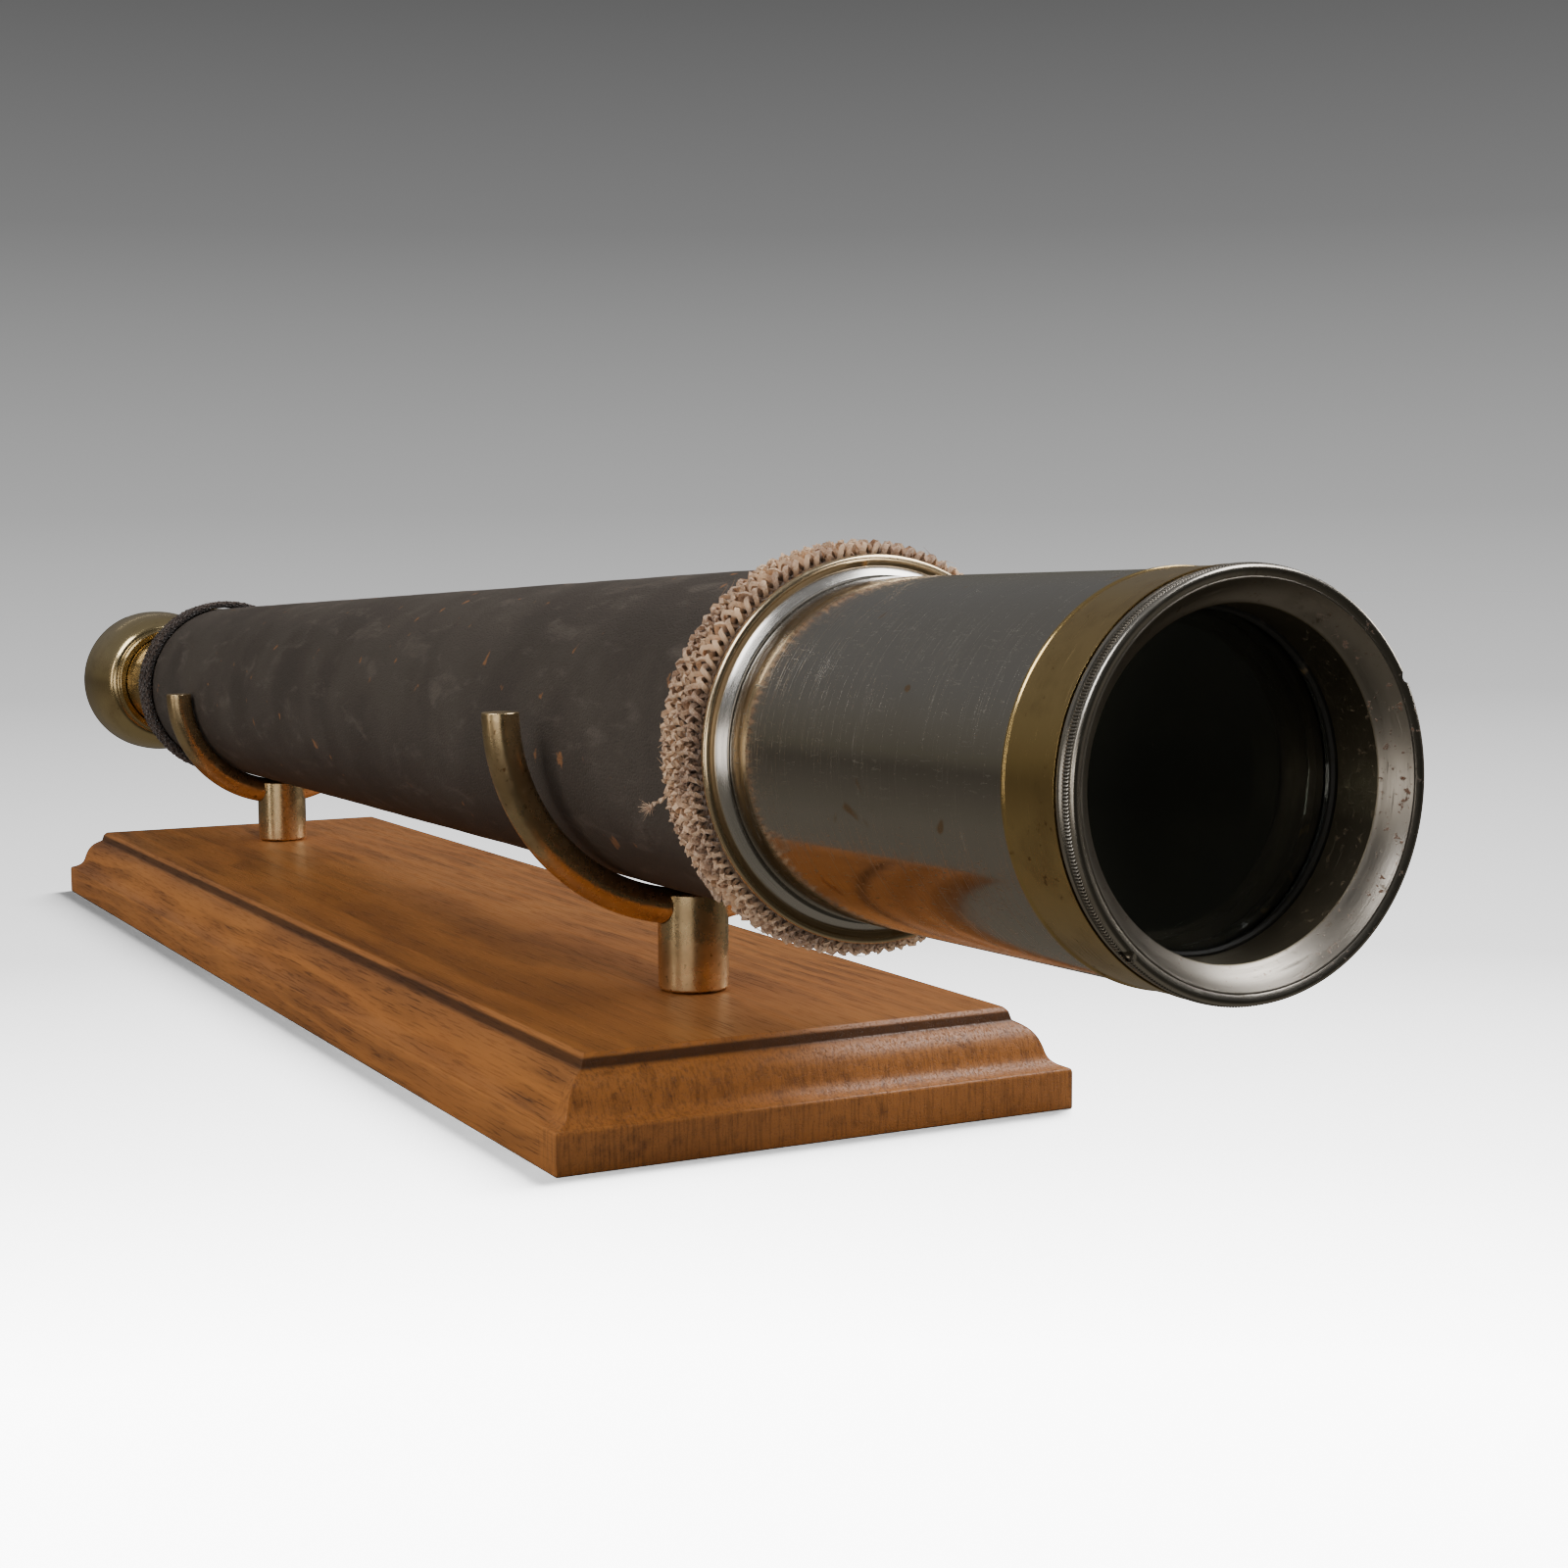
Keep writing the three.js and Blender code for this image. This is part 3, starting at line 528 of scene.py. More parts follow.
def felt_finish():
    """The red felt that the shade slides on."""
    paint = Paint("red_felt", roughness=0.95, sheen_weight=0.4, sheen_roughness=0.5)
    place = paint.millimetres(TO_ROW)
    nap = paint.noise(place, 2.8, 4, 0.7)
    cloth = paint.mix(nap.band(0.35, 0.68), (0.065, 0.010, 0.012), (0.21, 0.040, 0.045))
    return paint.surface(base_color=cloth, normal=paint.bump(nap, 0.18 * MM, 0.8))


def steel_finish():
    """Turned steel of the screws."""
    paint, _, shade, _, _, (relief, dull) = metal_finish(
        "turned_steel", (0.46, 0.45, 0.43), (0.13, 0.085, 0.055), None, (1.4, 1.4, 1.4), 0.6, 0.5, 0.30)
    return paint.surface(base_color=shade, roughness=dull, normal=paint.bump(relief, 0.02 * MM, 0.6))


FINISHES = {
    "oak": oak_finish,
    "cradle_brass": lambda: brass_finish(
        "cradle_brass", None, (0.35, 0.35, 0.35), bpy.context.scene.telescope_stand.brass, 0.65, 0.24),
    "brass": lambda: brass_finish("turned_brass", TO_ROW),
    "blacked_bore": blacked_bore_finish,
    "bell_brass": lambda: brass_finish(
        "bell_brass", TO_ROW, (3.0, 0.10, 0.10), (0.82, 0.64, 0.34), 0.45, 0.15),
    "draw_brass": lambda: brass_finish(
        "draw_tube_brass", TO_ROW, (0.08, 1.6, 1.6), (0.76, 0.56, 0.25), 0.3, 0.16),
    "nickel": nickel_finish,
    "ring": ring_finish,
    "ferrule": ferrule_finish,
    "leather": leather_finish,
    "cord": lambda: cord_finish(
        "tan_cord", bpy.context.scene.telescope_cover.cord, (0.40, 0.23, 0.145), (0.95, 0.74, 0.53),
        cover_radius(reach("front_cord_collar").rear)),
    "dark_cord": lambda: cord_finish(
        "tarred_cord", bpy.context.scene.telescope_cover.tarred, (0.035, 0.024, 0.020), (0.15, 0.10, 0.075),
        cover_radius(reach("rear_cord_collar").rear)),
    "blackened": lacquer_finish,
    "glass": glass_finish,
    "felt": felt_finish,
    "steel": steel_finish,
}
made_finishes = {}


def finish(name):
    """The material of that name, made the first time it is asked for."""
    if name not in made_finishes:
        made_finishes[name] = FINISHES[name]()
    return made_finishes[name]


# ---- Shaping ---------------------------------------------------------------------------------


def spun(corners, steps=128, closed=True):
    """A bmesh of [station, radius] corners spun about X; an open outline starts and ends on the axis."""
    shape = bmesh.new()
    ring = [shape.verts.new((station, 0, radius)) for station, radius in corners]
    for first, second in zip(ring, ring[1:]):
        shape.edges.new((first, second))
    if closed:
        shape.edges.new((ring[-1], ring[0]))
    bmesh.ops.spin(shape, geom=shape.verts[:] + shape.edges[:], cent=(0, 0, 0), axis=(1, 0, 0),
                   angle=2 * math.pi, steps=steps, use_merge=True)
    bmesh.ops.remove_doubles(shape, verts=shape.verts[:], dist=1e-7)
    bmesh.ops.recalc_face_normals(shape, faces=shape.faces[:])
    return shape


def ease(shape, width, angle=28, segments=2):
    """Rounds every edge that turns more than an angle in degrees."""
    limit = math.radians(angle)
    sharp = [edge for edge in shape.edges if edge.is_manifold and edge.calc_face_angle(0) > limit]
    bmesh.ops.bevel(shape, geom=sharp, offset=width, offset_type="OFFSET", affect="EDGES",
                    segments=segments, profile=0.5, material=-1, clamp_overlap=True)


def placed(name, shape, matrix=None, smooth=32):
    """An object at the origin with a bmesh moved by a matrix; edges sharper than smooth stay sharp."""
    if matrix:
        bmesh.ops.transform(shape, matrix=matrix, verts=shape.verts[:])
    for face in shape.faces:
        face.smooth = True
    for edge in shape.edges:
        edge.smooth = edge.calc_face_angle(0) < math.radians(smooth)
    mesh = bpy.data.meshes.new(name)
    shape.to_mesh(mesh)
    shape.free()
    piece = bpy.data.objects.new(name, mesh)
    bpy.context.scene.collection.objects.link(piece)
    return piece


def settle(piece, body, slot, finish_name, *nodes):
    """Gives a finished piece its material and body, and hides the CAD nodes that it stands for; a piece
    outside the cord slots also gets even shading.
    """
    piece.data.materials.clear()
    piece.data.materials.append(finish(finish_name))
    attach(piece, body)
    if nodes:
        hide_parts(*nodes)
    if slot not in CORD_SLOTS:
        # Long straight faces keep their own shading, and the small rounded edges take up the turn.
        even = piece.modifiers.new("even_shading", "WEIGHTED_NORMAL")
        even.keep_sharp = True
        even.weight = 90
    return piece


def repaint(node, finish_name):
    """Gives a CAD node that keeps its shape a better material."""
    data = frame["nodes"][node].data
    data.materials.clear()
    data.materials.append(finish(finish_name))


def carve(piece, cutters):
    """Cuts closed shapes out of a piece and removes them."""
    for cutter in cutters:
        modifier = piece.modifiers.new("cut", "BOOLEAN")
        modifier.operation = "DIFFERENCE"
        modifier.solver = "EXACT"
        modifier.object = cutter
    depsgraph = bpy.context.evaluated_depsgraph_get()
    mesh = bpy.data.meshes.new_from_object(piece.evaluated_get(depsgraph))
    piece.modifiers.clear()
    piece.data = mesh
    for cutter in cutters:
        bpy.data.objects.remove(cutter)
    shape = bmesh.new()
    shape.from_mesh(mesh)
    bmesh.ops.remove_doubles(shape, verts=shape.verts[:], dist=1e-6)
    bmesh.ops.dissolve_degenerate(shape, edges=shape.edges[:], dist=1e-7)
    for edge in shape.edges:
        edge.smooth = edge.calc_face_angle(0) < math.radians(32)
    shape.to_mesh(mesh)
    shape.free()


def pin(name, radius, depth, matrix, segments=24):
    """A closed round bar to cut a hole with."""
    shape = bmesh.new()
    bmesh.ops.create_cone(shape, cap_ends=True, segments=segments, radius1=radius, radius2=radius,
                          depth=depth, matrix=matrix)
    return placed(name, shape)


def block(name, size, matrix):
    """A closed box to cut a slot with."""
    shape = bmesh.new()
    bmesh.ops.create_cube(shape, size=1, matrix=matrix @ Matrix.Diagonal((*size, 1)))
    return placed(name, shape)


def arc(middle, radii, start, end, steps):
    """Points of an elliptical arc between two angles in degrees, as [station, radius]."""
    points = []
    for step in range(steps + 1):
        angle = math.radians(start + (end - start) * step / steps)
        points.append((middle[0] + radii[0] * math.cos(angle), middle[1] + radii[1] * math.sin(angle)))
    return points


def plain_tube(node, body, slot, finish_name, name=None):
    """A tube as long and as wide as its CAD node, with eased ends."""
    at = reach(node)
    shape = spun([(at.rear, at.inner), (at.rear, at.outer), (at.front, at.outer), (at.front, at.inner)])
    ease(shape, 0.15 * MM)
    return settle(placed(name or f"{node}_turned", shape, TO_ROW), body, slot, finish_name, node)


# ---- The stand -------------------------------------------------------------------------------


def moulding_outline():
    """The board's edge from its top down, as [out, drop] from the edge of the top face."""
    quirk, middle, ledge = (1.4, 2.8), (6.2, 8.3), (9.8, 12.4)
    width = bpy.context.scene.telescope_stand.moulding / MM
    points = [(0, 0), (0.9, 0.9), quirk]
    for start, end, bulge in ((quirk, middle, 0.95), (middle, ledge, -0.9)):
        run = Vector((end[0] - start[0], end[1] - start[1]))
        aside = Vector((run.y, -run.x)).normalized() * bulge
        for step in range(1, 9):
            share = step / 8
            at = Vector(start) + run * share + aside * math.sin(math.pi * share)
            points.append(tuple(at))
    points += [(width - 0.25, ledge[1] + 0.1), (width, ledge[1] + 0.6)]
    return [(out * MM, drop * MM) for out, drop in points]


def oak_board():
    """The board grows outwards from its top face, one edge loop for each point of the moulding."""
    low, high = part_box("wood_base")
    stand = bpy.context.scene.telescope_stand
    half = Vector((high.x - stand.moulding, high.y - stand.moulding))
    shape = bmesh.new()
    corners = [shape.verts.new((side * half.x, way * half.y, high.z))
               for side, way in ((1, 1), (-1, 1), (-1, -1), (1, -1))]
    shape.faces.new(corners)
    rim = [edge for edge in shape.edges]
    outline = moulding_outline()[1:] + [(stand.moulding, high.z)]
    for out, drop in outline:
        grown = bmesh.ops.extrude_edge_only(shape, edges=rim)["geom"]
        rim = [item for item in grown if isinstance(item, bmesh.types.BMEdge)]
        for vertex in (item for item in grown if isinstance(item, bmesh.types.BMVert)):
            vertex.co = (math.copysign(half.x + out, vertex.co.x), math.copysign(half.y + out, vertex.co.y),
                         high.z - drop)
    bmesh.ops.contextual_create(shape, geom=rim)
    bmesh.ops.recalc_face_normals(shape, faces=shape.faces[:])
    ease(shape, stand.edge, 24, 2)
    board = placed("oak_board", shape, smooth=30)
    cutters = []
    for node in ("front_post_screw", "rear_post_screw"):
        screw_low, screw_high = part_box(node)
        x = (screw_low.x + screw_high.x) / 2
        radius = (screw_high.x - screw_low.x) / 2 + CLEARANCE
        head_top = 6 * MM
        bottom = -MM
        for name, size, top in (("recess", radius, head_top), ("hole", 2.8 * MM, high.z + MM)):
            where = Matrix.Translation((x, 0, (top + bottom) / 2))
            cutters.append(pin(name, size, top - bottom, where, 48))
    carve(board, cutters)
    return settle(board, "stand", "oak", "oak", "wood_base")


def hoop_shape(node, swell=0.0):
    """A half circle of round rod, swept below its middle, with flat-cut ends; swell makes it thicker."""
    low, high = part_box(node)
    rod = (high.x - low.x) / 2
    radius = (high.y - low.y) / 2 - rod
    middle = Vector(((high.x + low.x) / 2, 0, high.z))
    shape = bmesh.new()
    upright = Matrix.Translation(middle + Vector((0, -radius, 0)))
    bmesh.ops.create_circle(shape, cap_ends=False, segments=36, radius=rod + swell, matrix=upright)
    bmesh.ops.spin(shape, geom=shape.verts[:] + shape.edges[:], cent=middle, axis=(1, 0, 0), angle=math.pi,
                   steps=72)
    bmesh.ops.holes_fill(shape, edges=[edge for edge in shape.edges if edge.is_boundary], sides=64)
    bmesh.ops.recalc_face_normals(shape, faces=shape.faces[:])
    return shape


def cradle(side):
    """One turned post with its hoop lying in a groove across the post's top."""
    hoop = hoop_shape(f"{side}_hoop")
    ease(hoop, 0.3 * MM, 60, 3)
    settle(placed(f"{side}_hoop_rod", hoop), "stand", "brass", "cradle_brass", f"{side}_hoop")
    low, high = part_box(f"{side}_post")
    radius = (high.x - low.x) / 2
    height = high.z - low.z
    middle = Matrix.Translation(((low.x + high.x) / 2, 0, low.z)) @ Matrix.Rotation(-math.pi / 2, 4, "Y")
    foot = 0.5 * MM
    outline = [(0, 0), (0, radius - foot), (foot, radius), (height - 0.5 * MM, radius),
               (height, radius - 0.5 * MM), (height, 0)]
    shape = spun(outline, 72, closed=False)
    ease(shape, 0.12 * MM, 28, 1)
    column = placed(f"{side}_post_turned", shape, middle)
    gap = bpy.context.scene.telescope_stand.saddle_gap
    groove = placed("groove", hoop_shape(f"{side}_hoop", gap))
    carve(column, [groove])
    settle(column, "stand", "brass", "cradle_brass", f"{side}_post")


def stand_screw(side):
    """The slotted screw that holds a post from under the board."""
    low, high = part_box(f"{side}_post_screw")
    head = (high.x - low.x) / 2
    shank = 2.5 * MM
    head_height = 3.5 * MM
    outline = [(0, 0), (0, head - 0.5 * MM), (0.5 * MM, head), (head_height, head), (head_height, shank),
               (high.z - low.z - MM, shank), (high.z - low.z, shank - MM), (high.z - low.z, 0)]
    upright = Matrix.Translation(((low.x + high.x) / 2, 0, low.z)) @ Matrix.Rotation(-math.pi / 2, 4, "Y")
    # The shank stops under the board's top face, where the post's own thread takes it over.
    screw = placed(f"{side}_screw_turned", spun(outline, 48, closed=False), upright)
    slot_size = (16 * MM, 1.4 * MM, 2.4 * MM)
    carve(screw, [block("slot", slot_size, Matrix.Translation(((low.x + high.x) / 2, 0, low.z)))])
    settle(screw, "stand", "steel", "steel", f"{side}_post_screw")


# ---- Cord collars ----------------------------------------------------------------------------


def braid_point(share, knot, row, strand):
    """A point of one strand of a three-strand braid round the barrel, a share of the way round."""
    phase = 2 * math.pi * (share * knot.periods + strand / 3)
    station = knot.rear + knot.row_width * (row + 0.5) + knot.sway * math.sin(phase)
    edge = abs(2 * (station - knot.rear) / (knot.row_width * knot.rows) - 1)
    dome = knot.dome * edge ** 3
    slope = cover_radius(station) - cover_radius(knot.middle)
    radius = knot.radius + slope - dome + knot.lift * math.sin(2 * phase)
    chance = Vector((row * 7.0, strand * 3.0, share * knot.periods * 0.8))
    radius += knot.uneven * noise.noise(chance)
    station += knot.uneven * 1.2 * noise.noise(chance + Vector((0, 40, 0)))
    return round_barrel(station, radius, 360 * share + 0.9 * noise.noise(chance * 0.5))


def cord_curve(name, paths, section, pitch):
    """Twisted cords along closed paths, as one curve object with a lobed section."""
    curve = bpy.data.curves.new(name, "CURVE")
    curve.dimensions = "3D"
    curve.bevel_mode = "OBJECT"
    curve.bevel_object = section
    curve.use_fill_caps = True
    for points, closed in paths:
        spline = curve.splines.new("POLY")
        spline.points.add(len(points) - 1)
        step = sum((second - first).length for first, second in zip(points, points[1:])) / (len(points) - 1)
        for index, (point, target) in enumerate(zip(points, spline.points)):
            target.co = (*point, 1)
            target.tilt = 2 * math.pi * index * step / pitch
            target.radius = 1
        spline.use_cyclic_u = closed
    curve.twist_smooth = 0
    made = bpy.data.objects.new(name, curve)
    bpy.context.scene.collection.objects.link(made)
    return made


def lobed_section(radius, lobes=3):
    """The section of a laid cord: three round strands side by side."""
    curve = bpy.data.curves.new("cord_section", "CURVE")
    curve.dimensions = "2D"
    spline = curve.splines.new("POLY")
    count = 3 * lobes
    spline.points.add(count - 1)
    for index, target in enumerate(spline.points):
        angle = 2 * math.pi * index / count
        size = radius * (0.76 + 0.24 * math.cos(lobes * angle))
        target.co = (size * math.cos(angle), size * math.sin(angle), 0, 1)
    spline.use_cyclic_u = True
    made = bpy.data.objects.new("cord_section", curve)
    bpy.context.scene.collection.objects.link(made)
    return made


def as_mesh(name, sources, matrix):
    """Joins the shapes of some objects into one mesh object in the row frame, and removes them."""
    depsgraph = bpy.context.evaluated_depsgraph_get()
    shape = bmesh.new()
    for source in sources:
        mesh = bpy.data.meshes.new_from_object(source.evaluated_get(depsgraph))
        shape.from_mesh(mesh)
        bpy.data.meshes.remove(mesh)
        bpy.data.objects.remove(source)
    bmesh.ops.remove_doubles(shape, verts=shape.verts[:], dist=1e-6)
    bmesh.ops.recalc_face_normals(shape, faces=shape.faces[:])
    return placed(name, shape, matrix, smooth=75)


def fibre_curve(name, fibres, radius):
    """Thin tapering fibres along short open paths."""
    curve = bpy.data.curves.new(name, "CURVE")
    curve.dimensions = "3D"
    curve.bevel_depth = radius
    curve.bevel_resolution = 0
    curve.use_fill_caps = True
    for points in fibres:
        spline = curve.splines.new("POLY")
        spline.points.add(len(points) - 1)
        for index, (point, target) in enumerate(zip(points, spline.points)):
            target.co = (*point, 1)
            target.radius = 1 - 0.75 * index / (len(points) - 1)
    made = bpy.data.objects.new(name, curve)
    bpy.context.scene.collection.objects.link(made)
    return made


def hair(start, direction, reach_out, bend, rolls):
    """A short curved fibre from a point, bending aside by chance."""
    aside = Vector((rolls.uniform(-1, 1), rolls.uniform(-1, 1), rolls.uniform(-1, 1))) * bend
    return [start + direction * (reach_out * share) + aside * (reach_out * share * share)
            for share in (0, 0.35, 0.7, 1)]


def plaited_collar(node, name, rows, cord_radius, body_slot, finish_name, fuzz, extras=()):
    """Rows of braided cord side by side over plain turns, in the room that the collar's CAD ring holds."""
    at = reach(node)
    middle = (at.rear + at.front) / 2
    foot = cover_radius(middle) + 0.15 * MM
    width = at.front - at.rear
    under = 1.1 * cord_radius
    room = at.outer - foot - under
    row_width = width / rows
    knot = SimpleNamespace(
        middle=middle, rear=at.rear, rows=rows, row_width=row_width,
        radius=foot + under + room / 2 - 0.15 * MM, lift=room / 2 - cord_radius,
        sway=row_width / 2 - 0.85 * cord_radius, dome=0.32 * room, uneven=0.35 * MM,
        periods=round(2 * math.pi * foot / (1.55 * row_width)))
    rolls = random.Random(rows * knot.periods)
    count = knot.periods * 14
    paths = []
    for row in range(rows):
        for strand in range(3):
            direction = 1 if row % 2 else -1
            shares = [direction * index / count for index in range(count)]
            paths.append(([braid_point(share, knot, row, strand) for share in shares], True))
    turns = int(width / (1.9 * cord_radius))
    for turn in range(turns):
        station = at.rear + width * (turn + 0.5) / turns
        radius = cover_radius(station) + cord_radius + 0.1 * MM
        paths.append(([round_barrel(station, radius, 360 * index / 150) for index in range(150)], True))
    section = lobed_section(cord_radius)
    collar = cord_curve(name, paths, section, 4.4 * MM)
    sources = [collar]
    fibres = []
    for _ in range(fuzz):
        point = rolls.choice(paths[rolls.randrange(3 * rows)][0])
        outward = Vector((0, point.y, point.z)).normalized()
        around = outward.cross(Vector((1, 0, 0)))
        direction = (outward * rolls.uniform(0.05, 0.30) + around * rolls.choice((-1, 1))
                     + Vector((rolls.uniform(-0.7, 0.7), 0, 0))).normalized()
        root = point + outward * cord_radius * 0.8
        fibres.append(hair(root, direction, rolls.uniform(1.2, 3.2) * MM, 0.4, rolls))
    for extra_paths, extra_fibres in extras:
        if extra_paths:
            sources.append(cord_curve(f"{name}_ends", extra_paths, section, 4.2 * MM))
        fibres += extra_fibres
    sources.append(fibre_curve(f"{name}_fibres", fibres, 0.055 * MM))
    piece = as_mesh(name, sources, TO_ROW)
    bpy.data.objects.remove(section)
    return settle(piece, "telescope", body_slot, finish_name, node)


def round_barrel(station, radius, degrees):
    """A point round the telescope: 0 degrees is +Y, 90 is up."""
    angle = math.radians(degrees)
    return Vector((station, radius * math.cos(angle), radius * math.sin(angle)))


def frayed_end():
    """The cord's end, sticking out rearwards at the near side, and its untwisted tuft."""
    at = reach("front_cord_collar")
    rolls = random.Random(7)
    surface = cover_radius(at.rear)
    path = [round_barrel(at.rear + forward * MM, surface + lift * MM, degrees)
            for forward, lift, degrees in (
                (5.0, 4.4, 190), (2.4, 5.0, 192), (-0.4, 5.2, 193), (-2.6, 5.0, 194))]
    tip = path[-1]
    fibres = []
    for _ in range(80):
        direction = (path[-1] - path[-2]).normalized() + 0.34 * Vector(
            (rolls.uniform(-1, 1), rolls.uniform(-1, 1), rolls.uniform(-1, 1)))
        root = tip - direction * 0.8 * MM
        fibres.append(hair(root, direction.normalized(), rolls.uniform(2.4, 5.4) * MM, 0.22, rolls))
    return [(path, False)], fibres


def tucked_loop():
    """A small loop of the cord that has worked loose low on the near side."""
    at = reach("front_cord_collar")
    surface = cover_radius(at.front)
    middle = at.front - 4.2 * MM
    path = []
    for step in range(15):
        share = step / 14
        angle = 2 * math.pi * (share * 0.86 + 0.07)
        station = middle - 2.2 * MM * math.cos(angle)
        lift = (4.9 + 1.2 * math.sin(math.pi * share)) * MM
        path.append(round_barrel(station, surface + lift, 216 + 4.6 * math.sin(angle)))
    return [(path, False)], []


# ---- The telescope's fixed pieces --------------------------------------------------------------


def leather_sleeve():
    """The tapered cover with a slightly uneven, hand-worn surface and rounded ends."""
    at = reach("leather_cover")
    bore = reach("barrel_tube")
    wall = 1.4 * MM
    rings = 90
    outer = [(at.rear + (at.front - at.rear) * index / rings, 0) for index in range(rings + 1)]
    outer = [(station, cover_radius(station)) for station, _ in outer]
    inner = [(at.front, at.outer - wall), (at.rear, cover_radius(at.rear) - wall)]
    shape = spun(outer + inner, 144)
    for vertex in shape.verts:
        radius = math.hypot(vertex.co.y, vertex.co.z)
        surface = cover_radius(vertex.co.x)
        if radius < surface - 0.5 * wall:
            continue
        wear = noise.noise(vertex.co / (22 * MM)) * 0.10 + noise.noise(vertex.co / (5 * MM)) * 0.05
        scale = (surface - (0.17 - wear) * MM) / radius
        vertex.co.y *= scale
        vertex.co.z *= scale
    ease(shape, 0.4 * MM, 45, 3)
    return settle(placed("leather_sleeve", shape, TO_ROW), "telescope", "leather", "leather", "leather_cover")


def rimmed_ferrule():
    """The front ferrule: a round rim, a flat face with two slots, and a bright foot."""
    at = reach("front_ferrule")
    seat = COVER.front + CLEARANCE
    spigot = cover_radius(at.rear) - SPIGOT_DEPTH - CLEARANCE
    top, inner = at.outer, at.inner
    face = seat + 1.5 * MM
    outline = [(at.rear, inner), (at.rear, spigot), (seat, spigot), (seat, top - 0.8 * MM)]
    outline += arc((seat + 1.0 * MM, top - 0.9 * MM), (1.0 * MM, 0.9 * MM), 165, 5, 10)
    outline += [(face + 0.3 * MM, top - 1.25 * MM), (face, top - 1.45 * MM), (face, top - 2.3 * MM)]
    outline += [(face + 0.25 * MM, top - 2.45 * MM), (face + 0.9 * MM, top - 3.05 * MM),
                (at.front - 0.25 * MM, top - 3.8 * MM), (at.front, top - 4.0 * MM)]
    outline += [(at.front, inner)]
    shape = spun(outline, 160)
    ease(shape, 0.07 * MM, 50, 1)
    ferrule = placed("rimmed_ferrule", shape, TO_ROW)
    slots = []
    for degrees in (97, 277):
        turn = Matrix.Rotation(math.radians(degrees - 90), 4, "X")
        where = TO_ROW @ turn @ Matrix.Translation((face, 0, top - 1.8 * MM))
        slots.append(block("slot", (1.6 * MM, 4.6 * MM, 1.0 * MM), where))
    carve(ferrule, slots)
    return settle(ferrule, "telescope", "nickel", "ferrule", "front_ferrule")


def end_cap():
    """The rear ferrule, with a rounded shoulder and a fine line turned round it."""
    at = reach("rear_ferrule")
    seat = COVER.rear - CLEARANCE
    spigot = cover_radius(COVER.rear) - SPIGOT_DEPTH
    top = at.outer
    outline = [(at.rear, at.inner), (at.rear, top - 1.9 * MM)]
    outline += arc((at.rear + 1.9 * MM, top - 1.9 * MM), (1.9 * MM, 1.9 * MM), 180, 90, 8)[1:]
    line = top - 0.35 * MM
    outline += [(seat - 2.2 * MM, top), (seat - 2.0 * MM, line), (seat - 1.6 * MM, line),
                (seat - 1.4 * MM, top), (seat, top), (seat, spigot), (at.front, spigot), (at.front, at.inner)]
    shape = spun(outline, 144)
    ease(shape, 0.12 * MM, 40, 1)
    return settle(placed("end_cap", shape, TO_ROW), "telescope", "brass", "brass", "rear_ferrule")


def bulging_lens(node, name, front_sag, rear_sag):
    """A lens between its two edges, with spherical faces; a negative sag is hollow."""
    at = reach(node)
    front_edge = at.front - max(front_sag, 0)
    rear_edge = at.rear + max(rear_sag, 0)
    steps = 14

    def face(edge, sag):
        shares = [index / steps for index in range(steps + 1)]
        return [(edge + sag * (1 - share ** 2), at.outer * share) for share in shares]

    outline = face(rear_edge, -rear_sag) + face(front_edge, front_sag)[::-1]
    shape = spun(outline, 96, closed=False)
    ease(shape, 0.12 * MM, 40, 1)
    return settle(placed(name, shape, TO_ROW), "telescope", "glass", "glass", node)


def objective():
    """The cell with its lip and flange, and the doublet's front glass."""
    at = reach("objective_cell")
    sleeve = reach("nose_tube").inner - CLEARANCE
    wall = 1.0 * MM
    lip = at.inner
    flange = at.front - 4 * MM
    outline = [(at.rear, sleeve - wall), (at.rear, sleeve), (flange, sleeve), (flange, at.outer),
               (at.front, at.outer), (at.front, lip + 0.5 * MM), (at.front - 0.4 * MM, lip),
               (at.front - MM, lip), (at.front - MM, sleeve - wall)]
    shape = spun(outline, 128)
    ease(shape, 0.1 * MM, 40, 1)
    settle(placed("lens_cell", shape, TO_ROW), "telescope", "blackened", "blackened", "objective_cell")
    bulging_lens("crown_lens", "front_glass", 2.0 * MM, 1.4 * MM)


# ---- The ray shade ----------------------------------------------------------------------------


def shade_barrel():
    """The nickel tube, turned down at its front for the band."""
    at = reach("shade_tube")
    band = reach("shade_band")
    neck = band.inner - CLEARANCE
    shoulder = band.rear - CLEARANCE
    outline = [(at.rear, at.inner), (at.rear, at.outer), (shoulder, at.outer), (shoulder, neck),
               (at.front, neck), (at.front, at.inner)]
    shape = spun(outline, 160)
    ease(shape, 0.22 * MM, 40, 2)
    return settle(placed("shade_barrel", shape, TO_ROW), "ray_shade", "nickel", "nickel", "shade_tube")


def band_piece():
    """The brass band with a fine raised bead at each edge."""
    at = reach("shade_band")
    bead = 0.55 * MM
    sunk = at.outer - 0.22 * MM
    outline = [(at.rear, at.inner), (at.rear, at.outer), (at.rear + bead, at.outer),
               (at.rear + 1.5 * bead, sunk), (at.front - 1.5 * bead, sunk), (at.front - bead, at.outer),
               (at.front, at.outer), (at.front, at.inner)]
    shape = spun(outline, 160)
    ease(shape, 0.09 * MM, 20, 2)
    return settle(placed("brass_band", shape, TO_ROW), "ray_shade", "brass", "brass", "shade_band")


